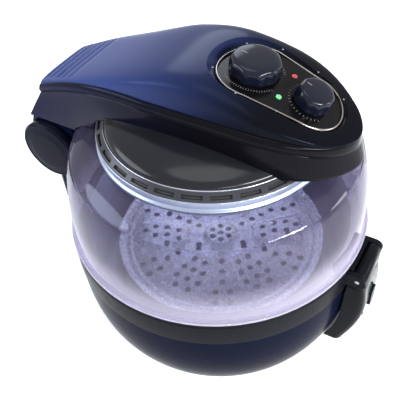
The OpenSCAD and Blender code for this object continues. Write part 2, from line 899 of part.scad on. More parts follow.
module motor() {
    color("dimgray")
    difference() {
        union() {
            translate([0, 0, motor_z])
                cylinder(r = motor_r, h = motor_h, $fn = round_fn);
            translate([0, 0, motor_z - bearing_h])
                cylinder(r = bearing_r, h = motor_h + bearing_h + 2, $fn = small_fn);
        }
        translate([0, 0, motor_z - 5])
            cylinder(r = shaft_r + pin_clear, h = motor_h + 10, $fn = small_fn);
    }
}

module cooling_fan() {
    color(black)
    difference() {
        union() {
            translate([0, 0, cooling_z])
                cylinder(r = bearing_r, h = cooling_hub_h, $fn = small_fn);
            for (i = [0:cooling_blades - 1])
                rotate([0, 0, i * 360 / cooling_blades])
                    translate([bearing_r - 1, -cooling_blade_w / 2, cooling_z + cooling_hub_h / 2])
                        rotate([28, 0, 0])
                            cube([cooling_r - bearing_r + 1, cooling_blade_w, 1.2]);
        }
        translate([0, 0, cooling_z - 1])
            cylinder(r = shaft_r, h = cooling_hub_h + 4, $fn = small_fn);
    }
}

bracket_t = 2;
bracket_r = head_hole_r + 14;
bracket_top_z = motor_z - bearing_h - seat_clear;
post_r = 3;

// Plate across the head that holds the motor, on three posts over the reflector
module motor_bracket() {
    color(steel)
    difference() {
        union() {
            translate([0, 0, bracket_top_z - bracket_t])
                cylinder(r = bracket_r, h = bracket_t, $fn = round_fn);
            for (i = [0:2])
                rotate([0, 0, 30 + 120 * i])
                    translate([reflector_flat_r - 2 * post_r, 0, reflector_top_z + 0.05])
                        cylinder(r = post_r, h = bracket_top_z - reflector_top_z - bracket_t / 2, $fn = small_fn);
            for (i = [0:2])
                rotate([0, 0, 90 + 120 * i])
                    translate([motor_r - 6, -4, bracket_top_z - eps])
                        cube([4, 8, bearing_h + seat_clear]);
        }
        translate([0, 0, bracket_top_z - 10])
            cylinder(r = bearing_r + 2, h = 20, $fn = small_fn);
    }
}

// Shape of the top housing, by stations along the length of the oven.
// Negative y is the nose, positive y the tail.
nose_start_y = -60;
seam_tail_w = 40;
seam_tail_z = 268;
seam_nose_drop = 18;
crest_tail_z = 272.5;
crest_z = 338;
arch_top_y = -19;
arch_start_y = -80;
arch_end_y = 29;
panel_y = -72;
panel_sink = 3.3;
skirt_nose_out = 5;
band_drop = 9;

// Smooth step from 0 to 1 as v goes from a to b
function ease(v, a, b) =
    let (t = min(1, max(0, (v - a) / (b - a)))) t * t * (3 - 2 * t);

// How far along the nose a station is, from 0 at its start to 1 at its tip
function nose_t(y, tip) = min(1, max(0, (nose_start_y - y) / (tip + nose_start_y)));
function nose_round(y, tip, power) = pow(max(0, 1 - pow(nose_t(y, tip), 2)), power);

function tail_t(y) = max(0, y - 40) / (tail_y - 40);
function seam_half_w(y) =
    (seam_w - (seam_w - seam_tail_w) * pow(tail_t(y), 1.25)) * nose_round(y, nose_y, 0.55);
function seam_height(y) = seam_z - seam_nose_drop * pow(nose_t(y, nose_y), 2) - (seam_z - seam_tail_z) * pow(tail_t(y), 2);

// Axis of the panel's bend, and the station in front of which the cover's top runs straight
bend_y = panel_y + panel_bend_r * sin(panel_tilt);
bend_z = panel_z - panel_bend_r * cos(panel_tilt);
front_slope = panel_tilt + 14;
straight_y = bend_y - panel_bend_r * sin(front_slope);

// Height of the top cover's middle: along the bent panel in front, a long arch behind
function bent_z(y) = bend_z + sqrt(max(0, pow(panel_bend_r, 2) - pow(y - bend_y, 2)));
function panel_line(y) = panel_sink + (y > straight_y ? bent_z(y)
    : bent_z(straight_y) - (straight_y - y) * tan(front_slope));
function arch_line(y) = let (t = max(0, y - arch_top_y) / (tail_y - arch_top_y))
    crest_z - (crest_z - crest_tail_z) * (0.785 * pow(t, 1.44) + 0.1075 * (1 - cos(180 * t)));
function crest_height(y) =
    let (k = ease(y, arch_start_y, arch_end_y), mid = panel_line(y) * (1 - k) + arch_line(y) * k)
    seam_height(y) + (mid - seam_height(y)) * nose_round(y, nose_y, 0.55);

// The cover's section is boxy in front and rounder near the tail
function section_x_power(y) = 0.54 + 0.08 * ease(y, 40, 130);
function section_z_power(y) = 0.25 + 0.56 * ease(y, 40, 130);
stations = 44;
cover_points = 20;
first_y = -nose_y + 0.15;

// Stations lie closer together towards the nose, where the shape turns fastest
function station_y(i, y0, y1) = y0 + (y1 - y0) * (1 - cos(90 * pow(i / stations, 0.9)));

// Least height of the room inside the cover, at the nose's tip
nose_room = 0.6;

function cover_section(y, inset) =
    let (w = max(0.6, seam_half_w(y) - inset), z0 = seam_height(y),
        h = max(housing_wall + nose_room, crest_height(y) - z0) - inset)
    [for (j = [0:cover_points]) let (a = 180 * j / cover_points, c = cos(a), s = sin(a))
        [w * sign(c) * pow(abs(c), section_x_power(y)), y, z0 + h * pow(max(0, s), section_z_power(y))]];

// Joins closed sections into one solid. Each section mirrors itself end for end, so
// that its two end faces are strips of flat quads.
module loft(sections) {
    n = len(sections[0]);
    m = len(sections);
    points = [for (s = sections, p = s) p];
    sides = [for (i = [0:m - 2], j = [0:n - 1])
        let (a = i * n + j, b = i * n + (j + 1) % n)
        each [[a, b, b + n], [a, b + n, a + n]]];
    strips = [for (j = [0:ceil(n / 2) - 2])
        j + 1 < n - 2 - j ? [j, j + 1, n - 2 - j, n - 1 - j] : [j, j + 1, n - 1 - j]];
    first_end = [for (f = strips) [for (k = [len(f) - 1:-1:0]) f[k]]];
    last_end = [for (f = strips) [for (k = f) (m - 1) * n + k]];
    polyhedron(points = points, faces = concat(sides, first_end, last_end), convexity = 4);
}

module cover_solid(inset, y0, y1) {
    loft([for (i = [0:stations]) let (y = station_y(i, y0, y1), s = cover_section(y, inset))
        inset > 0 ? concat([[s[0][0], y, s[0][2] - 12]], s, [[s[cover_points][0], y, s[0][2] - 12]]) : s]);
}

louvre_count = 4;
louvre_pitch = 10;
louvre_l = 60;
last_louvre_y = tail_y - 15;

// Well round the control panel: straight walls below the panel, a slope of 45 degrees above it
well_depth = 8;
slope_w = 14;

function bent_ring(grow, h) =
    [for (p = egg(grow)) [p[0], p[1], h - panel_bend_r + sqrt(pow(panel_bend_r, 2) - pow(p[1], 2))]];

module panel_well(wall, drop, depth) {
    foot = trim_w * 0.5 + wall;
    on_panel()
        loft([bent_ring(foot + slope_w, slope_w - drop), bent_ring(foot, -drop), bent_ring(foot, -depth)]);
}

// Upper shell with the well for the control panel and the louvres at the rear
module top_cover() {
    color(navy)
    difference() {
        cover_solid(0, first_y, tail_y);
        difference() {
            cover_solid(housing_wall, first_y + housing_wall, tail_y - housing_wall);
            panel_well(housing_wall, 1, well_depth);
        }
        panel_well(0, 0, 3 * well_depth);
        for (i = [0:louvre_count - 1])
            let (y = last_louvre_y - i * louvre_pitch)
                translate([-louvre_l / 2, y, crest_height(y) - 22])
                    rotate([-28, 0, 0])
                        cube([louvre_l, 2.6, 40]);
    }
}

// Section of the lower housing at a station: two flared side walls
function skirt_bottom(y) =
    nose_bottom_z - (nose_bottom_z - box_low_z) * ease(y, dome_neck_r - 24, dome_neck_r + 8);

box_low_z = hinge_z + 41;
function skirt_half_w(y) =
    (seam_w + skirt_flare - (seam_w + skirt_flare - box_half_w) * ease(y, dome_neck_r / 2, hinge_y - 38))
        * nose_round(y, nose_y + skirt_nose_out, 0.55);

box_half_w = 49.5;
box_rear_y = hinge_y + 18;

function skirt_section(y, ys, inset, open) =
    let (w0 = max(0.4, seam_half_w(y) - inset), z0 = seam_height(y),
        w1 = max(0.5, w0 + 4 * nose_round(y, nose_y, 0.5)), z1 = z0 - band_drop,
        w2 = max(0.6, skirt_half_w(ys) - inset), z2 = skirt_bottom(ys) + inset,
        top = open ? z0 + 6 : z0)
    [[w2, ys, z2], [(w1 + w2) / 2 + 0.5, (y + ys) / 2, (z1 + z2) / 2], [w1, y, z1], [w0, y, top],
     [-w0, y, top], [-w1, y, z1], [-(w1 + w2) / 2 - 0.5, (y + ys) / 2, (z1 + z2) / 2], [-w2, ys, z2]];

// The lower edge runs a little further out than the seam, at the nose and at the tail
module skirt_solid(inset, open) {
    loft([for (i = [0:stations])
        skirt_section(station_y(i, first_y + inset, tail_y - inset),
            station_y(i, -nose_y - skirt_nose_out + 0.2 + inset, box_rear_y - inset), inset, open)]);
}

// Lower shell: nose, side walls over the head, the box behind it and the two hinge arms
module lower_housing() {
    color(navy)
    difference() {
        union() {
            difference() {
                translate([0, 0, -eps])
                    skirt_solid(0, false);
                skirt_solid(housing_wall, true);
                head_clearance();
            }
            for (s = [-1, 1])
                along_x(s > 0 ? arm_x : -arm_x - arm_w, s > 0 ? arm_x + arm_w : -arm_x)
                    polygon(concat(arc_points(hinge_y, hinge_z, arm_r, -190, 20, 24),
                        [[box_rear_y - 0.5, box_low_z + 1], [hinge_y - 30, box_low_z + 1]]));
        }
        dome_clearance();
        along_x(-60, 60)
            translate([hinge_y, hinge_z])
                circle(r = hinge_pin_r + pin_clear, $fn = small_fn);
    }
}

// Round cap on the outside of a hinge arm, carried by a short boss
module hinge_cap(side) {
    color(charcoal)
    translate([side * (arm_x + arm_w), hinge_y, hinge_z])
        rotate([0, side * 90, 0])
            rotate_extrude($fn = round_fn)
                polygon([[0, 0.02], [12, 0.02], [12, cap_gap], [hinge_cap_r - 1, cap_gap], [hinge_cap_r, cap_gap + 1],
                    [hinge_cap_r, cap_gap + cap_t - 5], [hinge_cap_r - 2, cap_gap + cap_t - 2.2],
                    [hinge_cap_r * 0.75, cap_gap + cap_t - 0.6], [0, cap_gap + cap_t]]);
}

module hinge_cap_left() hinge_cap(-1);
module hinge_cap_right() hinge_cap(1);

// The control panel's own frame: its origin is midway between the knobs, +Y runs up the slope
module on_panel() {
    translate([0, panel_y, panel_z])
        rotate([panel_tilt, 0, 0])
            children();
}

// Moves a piece by s along the bent panel, and keeps it square to the surface there
module along_bend(s) {
    translate([0, 0, -panel_bend_r])
        rotate([-s / panel_bend_r * 180 / PI, 0, 0])
            translate([0, 0, panel_bend_r])
                children();
}

// Cylinder whose top runs at the height h above the bent panel
module bend(h) {
    translate([0, 0, -panel_bend_r])
        rotate([0, 90, 0])
            cylinder(r = panel_bend_r + h, h = 4 * panel_rear_r, center = true, $fn = bend_fn);
}

panel_rear_y = knob_pitch / 2 - 3.5;
panel_front_y = 0.5 - knob_pitch / 2;

// Egg-shaped outline: a large round end behind, a small one in front, and the two tangents
// between them. It starts behind, and mirrors itself end for end.
rear_steps = 27;
front_steps = 21;

function egg(grow) =
    let (d = panel_rear_y - panel_front_y, a = asin((panel_rear_r - panel_front_r) / d),
        ring = concat(arc_points(0, panel_rear_y, panel_rear_r + grow, -a, 180 + a, rear_steps),
            arc_points(0, panel_front_y, panel_front_r + grow, 180 + a, 360 - a, front_steps)))
    [for (i = [0:len(ring) - 1]) ring[(i + (rear_steps + 1) / 2) % len(ring)]];

egg_h = 35;

module egg_prism(grow) {
    translate([0, 0, -egg_h])
        linear_extrude(height = 2 * egg_h)
            polygon(egg(grow));
}

plate_depth = 3;
trim_rise = 2.2;
trim_depth = 7;
trim_fit = 0.1;
bush_r = 4.2;
lamp_hole_fit = 0.05;

module panel_plate() {
    color(black)
    on_panel()
        difference() {
            intersection() {
                egg_prism(-trim_fit);
                bend(0);
            }
            bend(-plate_depth);
            for (s = [-1, 1])
                along_bend(s * knob_pitch / 2)
                    translate([0, 0, -2 * plate_depth])
                        cylinder(r = bush_r, h = 4 * plate_depth, $fn = small_fn);
            for (x = [-1, 1])
                translate([x * indicator_x, indicator_y, -2 * plate_depth])
                    cylinder(r = indicator_r + lamp_hole_fit, h = 4 * plate_depth, $fn = small_fn);
        }
}

module panel_trim() {
    color(silver_blue)
    on_panel()
        difference() {
            intersection() {
                egg_prism(trim_w * 0.5 - trim_fit);
                bend(trim_rise);
            }
            bend(-trim_depth);
            egg_prism(0);
        }
}

knob_gap = 0.8;
knob_shaft_r = 3;
knob_shaft_fit = 0.01;
flutes = 10;

// Fluted knob with a broad shoulder, a nearly flat top and a short pointer groove
module knob(r, h) {
    translate([0, 0, knob_gap])
        difference() {
            rotate_extrude($fn = small_fn)
                polygon([[0, 0], [r, 0], [r, h * 0.5], [r * 0.96, h * 0.72], [r * 0.87, h * 0.9],
                    [r * 0.74, h * 0.98], [0, h]]);
            for (i = [0:flutes - 1])
                rotate([0, 0, (i + 0.5) * 360 / flutes])
                    translate([r * 1.55, 0, -1])
                        cylinder(r = r * 0.6, h = h * 2, $fn = small_fn);
            translate([0, 0, -1])
                cylinder(r = knob_shaft_r, h = h - 3, $fn = small_fn);
            translate([-0.8, r * 0.30, h - 1])
                cube([1.6, r * 0.42, 2]);
        }
}

module knob_shaft(h) {
    translate([0, 0, -unit_depth * 0.6])
        cylinder(r = knob_shaft_r - knob_shaft_fit, h = unit_depth * 0.6 + knob_gap + h - 4.2, $fn = small_fn);
}

unit_depth = 18;
timer_unit_r = 19;
thermo_unit_r = 14;

unit_gap = 0.15;

// How far the bent underside of the plate drops away at the distance r from a knob's axis
function unit_drop(r) =
    let (under_r = panel_bend_r - plate_depth) under_r - sqrt(pow(under_r, 2) - pow(r, 2)) + unit_gap;

module control_unit(r, depth) {
    difference() {
        union() {
            translate([0, 0, -plate_depth - unit_drop(r) - depth])
                cylinder(r = r, h = depth, $fn = small_fn);
            translate([0, 0, -plate_depth - unit_drop(r) - 0.5])
                cylinder(r = bush_r - 0.02, h = plate_depth + unit_drop(r) + 0.5, $fn = small_fn);
        }
        translate([0, 0, -plate_depth - unit_drop(r) - depth - 1])
            cylinder(r = knob_shaft_r + pin_clear, h = depth + plate_depth + 4, $fn = small_fn);
    }
}

module at_timer() { on_panel() along_bend(knob_pitch / 2) children(); }
module timer_knob() { color(black) at_timer() knob(timer_knob_r, timer_knob_h); }
module timer_shaft() { color(steel) at_timer() knob_shaft(timer_knob_h); }
module timer_unit() { color("dimgray") at_timer() control_unit(timer_unit_r, unit_depth); }

module at_thermostat() { on_panel() along_bend(-knob_pitch / 2) children(); }
module thermostat_knob() { color(black) at_thermostat() knob(thermo_knob_r, timer_knob_h); }
module thermostat_shaft() { color(steel) at_thermostat() knob_shaft(timer_knob_h); }
module thermostat_unit() { color("dimgray") at_thermostat() control_unit(thermo_unit_r, unit_depth - 3); }

indicator_x = 17;
indicator_y = -3.5;
indicator_depth = 9;
collar_gap = 0.3;

module indicator(side) {
    on_panel()
        translate([side * indicator_x, indicator_y, -indicator_depth]) {
            cylinder(r = indicator_r, h = indicator_depth + 0.6, $fn = small_fn);
            cylinder(r = indicator_r + 1, h = indicator_depth - plate_depth - collar_gap, $fn = small_fn);
        }
}

module green_lamp() { color("palegreen") indicator(-1); }
module red_lamp() { color("crimson") indicator(1); }

// Round thermal cut-out on the motor's bracket
module thermal_cutout() {
    color(black)
    translate([0, bracket_r - 9, bracket_top_z + 0.02])
        cylinder(r = 7, h = 9, $fn = small_fn);
}

// Switch inside the tail of the housing that cuts the heat when the top is lifted
module lid_switch() {
    color(black)
    translate([-10, hinge_y - 14, box_low_z + housing_wall + 0.05])
        cube([20, 10, 12]);
}

// Screws that hold the lower shell's floor to the tail's box, from below
module housing_screws() {
    color(steel)
    for (x = [-20, 20])
        translate([x, hinge_y + 8, box_low_z - 1.6]) {
            cylinder(r = screw_head_r, h = 1.58, $fn = small_fn);
        }
}

base_shell();
rim_band();
base_plate();
feet();
base_screws();
pot();
wire_rack();
tray();
rear_column();
column_plate();
cord_gland();
terminal_block();
hinge_pin();
hinge_spring();
handle_bracket();
handle_pin();
handle();
handle_button();
button_spring();
dome();
dome_seal();
bayonet_collar();
neck_ring();
vent_ring();
head_shell();
reflector();
halogen_lamp();
lamp_holders();
lamp_guard();
hot_air_fan();
motor();
motor_shaft();
cooling_fan();
motor_bracket();
lower_housing();
top_cover();
hinge_cap_left();
hinge_cap_right();
panel_plate();
panel_trim();
timer_knob();
timer_shaft();
timer_unit();
thermostat_knob();
thermostat_shaft();
thermostat_unit();
green_lamp();
red_lamp();
thermal_cutout();
lid_switch();
housing_screws();
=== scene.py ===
# Halogen oven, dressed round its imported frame. Points are written in millimetres, with
# +Z up and the front towards -Y, and piece() turns them into metres.
import math

import bmesh
import bpy
import numpy as np
from mathutils import Matrix, Vector


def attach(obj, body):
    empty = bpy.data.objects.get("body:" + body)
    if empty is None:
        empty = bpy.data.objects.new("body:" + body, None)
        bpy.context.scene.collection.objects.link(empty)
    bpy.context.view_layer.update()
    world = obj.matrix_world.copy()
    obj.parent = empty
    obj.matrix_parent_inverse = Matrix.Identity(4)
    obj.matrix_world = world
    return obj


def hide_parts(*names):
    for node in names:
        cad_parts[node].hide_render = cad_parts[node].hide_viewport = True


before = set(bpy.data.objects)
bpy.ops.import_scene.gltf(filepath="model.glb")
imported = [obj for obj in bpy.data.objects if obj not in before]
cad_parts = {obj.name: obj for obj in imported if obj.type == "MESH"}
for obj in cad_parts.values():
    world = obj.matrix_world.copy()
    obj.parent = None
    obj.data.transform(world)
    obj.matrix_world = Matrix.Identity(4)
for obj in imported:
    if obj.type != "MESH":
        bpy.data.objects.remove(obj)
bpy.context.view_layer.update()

# Camera: a 54 mm lens at the place the photograph was taken from, a little tilted. The
# place and the tilt were fitted to the oven's rim, flange, shoulder and base.
camera = bpy.data.objects.new("camera", bpy.data.cameras.new("camera"))
bpy.context.collection.objects.link(camera)
camera.data.lens = 54
camera.data.sensor_width = 36
camera.data.shift_x = -0.0474
camera.data.shift_y = 0.0018
camera_place = Vector((-0.4071, -0.2446, 0.6240))
camera_aim = Vector((0, 0, 0.140))
camera_roll = math.radians(3.13)
camera.matrix_world = (
    Matrix.Translation(camera_place)
    @ (camera_aim - camera_place).to_track_quat("-Z", "Y").to_matrix().to_4x4()
    @ Matrix.Rotation(-camera_roll, 4, "Z")
)
bpy.context.scene.camera = camera
bpy.context.scene.view_settings.view_transform = "Standard"

# Base shell: a deep bowl of enamelled sheet, navy outside, curved in to the foot.
# It is pressed in one piece and hangs from the rim band.


def shader_group(name, **inputs):
    """A shader node group that puts out a colour, a roughness and a height. Its inputs are
    colours and floats, given with their first values."""
    tree = bpy.data.node_groups.new(name, "ShaderNodeTree")
    for label, value in inputs.items():
        kind = "NodeSocketFloat" if isinstance(value, float) else "NodeSocketColor"
        tree.interface.new_socket(label, in_out="INPUT", socket_type=kind).default_value = value
    for label, kind in (("Color", "NodeSocketColor"), ("Roughness", "NodeSocketFloat"),
                        ("Height", "NodeSocketFloat")):
        tree.interface.new_socket(label, in_out="OUTPUT", socket_type=kind)
    return tree, tree.nodes.new("NodeGroupInput").outputs, tree.nodes.new("NodeGroupOutput")


def put(tree, socket, value):
    """Gives a socket a plain value, or links another socket to it."""
    if isinstance(value, bpy.types.NodeSocket):
        tree.links.new(value, socket)
    else:
        socket.default_value = value


def fill(tree, made, settings):
    """Gives a node its properties and its named sockets."""
    for key, value in settings.items():
        if hasattr(made, key):
            setattr(made, key, value)
        else:
            put(tree, made.inputs[key.replace("_", " ")], value)


def node(tree, kind, *sockets, **settings):
    """A shader node. Plain values fill its sockets in order, named ones by their names."""
    made = tree.nodes.new("ShaderNode" + kind)
    fill(tree, made, settings)
    for at, value in enumerate(sockets):
        put(tree, made.inputs[at], value)
    return made


def mixed(tree, share, first, second):
    """A colour between two others, by a share."""
    mix = node(tree, "Mix", share, data_type="RGBA")
    put(tree, mix.inputs[6], first)
    put(tree, mix.inputs[7], second)
    return mix.outputs[2]


def object_place(tree):
    """The place of a point on the object, as one vector."""
    return node(tree, "TexCoord").outputs["Object"]


def surface_life():
    """Cloudy tone, fine scuffs and a fine skin: what any handled surface shows up close."""
    tree, given, out = shader_group(
        "surface life", Light=(0.5, 0.5, 0.5, 1), Dark=(0.2, 0.2, 0.2, 1), Roughness=0.3, Scuffs=0.1,
        Scale=20.0, Skin=900.0,
    )
    place = object_place(tree)
    cloud = node(tree, "TexNoise", Vector=place, Scale=given["Scale"], Detail=4.0, Roughness=0.6)
    smear_scale = node(tree, "Math", given["Scale"], 5.0, operation="MULTIPLY").outputs[0]
    smear = node(tree, "TexNoise", Vector=place, Scale=smear_scale, Detail=6.0, Roughness=0.72,
                 Distortion=0.6)
    worn = node(tree, "MapRange", Value=smear.outputs["Fac"], From_Min=0.48, From_Max=0.72).outputs[0]
    amount = node(tree, "Math", worn, given["Scuffs"], given["Roughness"], operation="MULTIPLY_ADD")
    skin = node(tree, "TexNoise", Vector=place, Scale=given["Skin"], Detail=3.0, Roughness=0.55)
    fill(tree, out, {
        "Color": mixed(tree, cloud.outputs["Fac"], given["Dark"], given["Light"]),
        "Roughness": amount.outputs[0], "Height": skin.outputs["Fac"],
    })
    return tree


life = surface_life()


def coated(name, look, values, relief, shader, painted_sheen_fade=None):
    """A material whose colour, roughness and height come from a group. relief is the bump's
    strength and depth, and plain numbers in shader sit on the shader's own sockets.
    painted_sheen_fade gives a second colour, painted in as a sheen, and the object's Y in metres where it
    starts and ends."""
    material = bpy.data.materials.new(name)
    material.use_nodes = True
    tree = material.node_tree
    group = tree.nodes.new("ShaderNodeGroup")
    group.node_tree = look
    fill(tree, group, values)
    colour = group.outputs["Color"]
    # A sheen is painted here: the second colour is blended in along the object's Y.
    if painted_sheen_fade:
        apart = node(tree, "SeparateXYZ", object_place(tree))
        along = node(tree, "MapRange", interpolation_type="SMOOTHSTEP", Value=apart.outputs[1],
                     From_Min=painted_sheen_fade[1], From_Max=painted_sheen_fade[2])
        colour = mixed(tree, along.outputs[0], colour, (*painted_sheen_fade[0], 1))
    bump = node(tree, "Bump", Strength=relief[0], Distance=relief[1], Height=group.outputs["Height"])
    fill(tree, tree.nodes["Principled BSDF"], {
        "Base Color": colour, "Roughness": group.outputs["Roughness"],
        "Normal": bump.outputs["Normal"], **shader,
    })
    return material


def finish(name, light, dark, roughness, scuffs=0.08, scale=18.0, skin=900.0, bump=0.02, depth=0.0002,
           painted_sheen_fade=None, **shader):
    """A moulded, painted or plain metal surface, from its lighter and its darker tone."""
    values = {"Light": (*light, 1), "Dark": (*dark, 1), "Roughness": roughness, "Scuffs": scuffs,
              "Scale": scale, "Skin": skin}
    return coated(name, life, values, (bump, depth), shader, painted_sheen_fade)


def piece(name, points, faces, material, body, nodes=(), slot=None, sharp=32):
    """A mesh from points in millimetres, shaded smooth up to its sharp edges, on its body."""
    mesh = bpy.data.meshes.new(name)
    mesh.from_pydata([(x / 1000, y / 1000, z / 1000) for x, y, z in points], [], faces)
    tidy = bmesh.new()
    tidy.from_mesh(mesh)
    bmesh.ops.remove_doubles(tidy, verts=tidy.verts, dist=1e-6)
    bmesh.ops.recalc_face_normals(tidy, faces=tidy.faces)
    tidy.to_mesh(mesh)
    tidy.free()
    made = bpy.data.objects.new(name, mesh)
    bpy.context.collection.objects.link(made)
    return dress(made, material, body, nodes, sharp)


def dress(made, material, body, nodes=(), sharp=32):
    """Gives a piece its finish and its body, and hides the nodes that it stands for."""
    made.data.materials.clear()
    made.data.materials.append(material)
    made.data.shade_smooth()
    made.data.set_sharp_from_angle(angle=math.radians(sharp))
    if body:
        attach(made, body)
    if nodes:
        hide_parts(*nodes)
    return made


def rounded(corners, steps=5):
    """A closed outline through corners (a, b, radius), each turned into a small curve."""
    out = []
    count = len(corners)
    for i, (a, b, radius) in enumerate(corners):
        here = np.array((a, b), float)
        if radius <= 0:
            out.append((a, b))
            continue
        before = np.array(corners[i - 1][:2], float) - here
        after = np.array(corners[(i + 1) % count][:2], float) - here
        one, two = np.linalg.norm(before), np.linalg.norm(after)
        turn = math.acos(max(-1.0, min(1.0, float(before @ after) / (one * two))))
        reach = min(radius / max(0.05, math.tan(turn / 2)), 0.48 * one, 0.48 * two)
        start, end = here + before / one * reach, here + after / two * reach
        for k in range(steps + 1):
            t = k / steps
            point = (1 - t) ** 2 * start + 2 * t * (1 - t) * here + t * t * end
            out.append((float(point[0]), float(point[1])))
    return out


def polar(r, a):
    """A point at a distance from the axis, and at an angle round it."""
    return (r * math.cos(a), r * math.sin(a))


def revolved(profile, segments):
    """Points and faces of a closed (radius, height) outline turned about the vertical axis."""
    points, faces, rows = [], [], []
    for r, z in profile:
        if r < 1e-6:
            rows.append([len(points)] * segments)
            points.append((0, 0, z))
            continue
        rows.append(list(range(len(points), len(points) + segments)))
        for k in range(segments):
            points.append((*polar(r, 2 * math.pi * k / segments), z))
    for i in range(len(rows)):
        low, high = rows[i], rows[(i + 1) % len(rows)]
        for k in range(segments):
            n = (k + 1) % segments
            face = []
            for corner in (low[k], low[n], high[n], high[k]):
                if corner not in face:
                    face.append(corner)
            if len(face) > 2:
                faces.append(face)
    return points, faces


rim_r, band_z, rim_z = 165.0, 107.0, 138.5
foot_r, foot_z, wall = 141.0, 3.0, 3.0


def base_radius(z):
    """Radius of the bowl's outside at a height."""
    return foot_r + (rim_r - 1 - foot_r) * (1 - max(0.0, 1 - z / band_z) ** 2.9)


heights = np.linspace(foot_z, band_z - 0.02, 46)
bowl = [(base_radius(z), float(z)) for z in heights]
bowl = [(bowl[0][0] - 1.6, foot_z), (bowl[0][0] - 0.4, foot_z + 0.5)] + bowl[1:]
bowl += [(base_radius(z) - wall, float(z)) for z in heights[::-1]]
navy_enamel = finish(
    "navy enamel", (0.003, 0.005, 0.017), (0.002, 0.003, 0.011), 0.20, scuffs=0.10, scale=9.0,
    Specular_IOR_Level=0.012,
)
piece("bowl", *revolved(bowl, 224), navy_enamel, "base", ["base_shell"], "navy_enamel")

# Rim band: a charcoal plastic hoop that grips the bowl's edge and carries the pot and
# the dome. It is moulded with small round edges and a fine parting line.
ledge_z, ledge_r = rim_z - wall, 150.2
hoop = rounded([
    (rim_r - wall - 1, band_z, 0.6), (rim_r - 0.6, band_z, 0.8), (rim_r - 0.6, band_z + 2.2, 0.2),
    (rim_r, band_z + 2.8, 0.5), (rim_r, rim_z - 3.4, 0.4), (rim_r - 0.5, rim_z - 2.9, 0.2),
    (rim_r - 0.5, rim_z - 2.3, 0.2), (rim_r, rim_z - 1.8, 0.3), (rim_r, rim_z, 0.8),
    (rim_r - wall, rim_z, 0.6), (rim_r - wall, ledge_z, 0.5), (ledge_r, ledge_z, 0.5),
    (ledge_r, ledge_z - wall, 0.5), (rim_r - wall - 1, ledge_z - wall, 0.5),
])
charcoal = finish(
    "charcoal moulding", (0.008, 0.009, 0.012), (0.005, 0.006, 0.008), 0.26, scuffs=0.12, scale=14.0,
    skin=2600.0, bump=0.03, Specular_IOR_Level=0.025,
)
piece("rim_hoop", *revolved(hoop, 224), charcoal, "base", ["rim_band"], "charcoal_plastic")

# Pot: a deep-drawn steel bowl with a rolled lip, set loose on the hoop's ledge. The
# drawing leaves fine rings round it.


def ring_lines():
    """Fine rings about the vertical axis, as turning and drawing leave on sheet metal."""
    tree, given, out = shader_group(
        "ring lines", Light=(0.7, 0.7, 0.7, 1), Dark=(0.4, 0.4, 0.4, 1), Roughness=0.25, Spread=0.12,
        Fineness=900.0,
    )
    apart = node(tree, "SeparateXYZ", object_place(tree))
    flat = node(tree, "CombineXYZ", apart.outputs[0], apart.outputs[1])
    reach = node(tree, "VectorMath", flat.outputs[0], operation="LENGTH")
    line = node(tree, "CombineXYZ", reach.outputs["Value"], apart.outputs[2])
    noise = node(tree, "TexNoise", Vector=line.outputs[0], Scale=given["Fineness"], Detail=5.0,
                 Roughness=0.7)
    height = noise.outputs["Fac"]
    uneven = node(tree, "Math", height, given["Spread"], given["Roughness"], operation="MULTIPLY_ADD")
    fill(tree, out, {
        "Color": mixed(tree, height, given["Dark"], given["Light"]),
        "Roughness": uneven.outputs[0], "Height": height,
    })
    return tree


rings = ring_lines()


def turned_metal(name, light, dark, roughness, spread, fineness):
    """A metal with fine rings about the oven's axis."""
    values = {"Light": (*light, 1), "Dark": (*dark, 1), "Roughness": roughness, "Spread": spread,
              "Fineness": fineness}
    return coated(name, rings, values, (0.08, 0.0002), {"Metallic": 1.0})


pot_r, pot_z, pot_corner, sheet = 147.0, 24.0, 22.0, 1.2
lip_r, groove_r = 160.0, 98.0


def arc(cx, cy, r, start, end, steps):
    """Points on an arc, by its centre, radius and two angles in degrees."""
    angles = [math.radians(start + (end - start) * k / steps) for k in range(steps + 1)]
    return [(cx + r * math.cos(a), cy + r * math.sin(a)) for a in angles]


corner = (pot_r - pot_corner, pot_z + pot_corner)
pot_outline = [(0, pot_z - sheet)] + arc(*corner, pot_corner + sheet, -90, 0, 14)
pot_outline += rounded([
    (pot_r + sheet, ledge_z + 0.3, 0), (lip_r, ledge_z + 0.3, 0.4), (lip_r, ledge_z + 2.2, 0.8),
    (pot_r + 0.6, ledge_z + 2.2, 1.6), (pot_r, ledge_z - 4, 0),
])
pot_outline += arc(*corner, pot_corner, 0, -90, 14)[1:]
pot_outline += [(groove_r + 2, pot_z), (groove_r, pot_z - 0.35), (groove_r - 2, pot_z), (0, pot_z)]
pot_steel = turned_metal("drawn steel", (0.50, 0.52, 0.60), (0.36, 0.38, 0.46), 0.20, 0.2, 700.0)
piece("pot_sheet", *revolved(pot_outline, 192), pot_steel, "base", ["pot"], "pot_steel")

# Tray: a thin pressed disc with raised petals, rows of round holes and two ridges near
# its rim. It stands on the wire rack.
tray_r, tray_z, tray_sheet, boss_r = 121.0, 84.0, 0.8, 20
petal_in, petal_out, petal_lift, ridge_lift, rim_lift = 37, 98, 2.0, 1.6, 6.2


def smooth(v, a, b):
    """A step from 0 to 1 as v goes from a to b, level at both ends."""
    t = np.clip((v - a) / (b - a), 0, 1)
    return t * t * (3 - 2 * t)


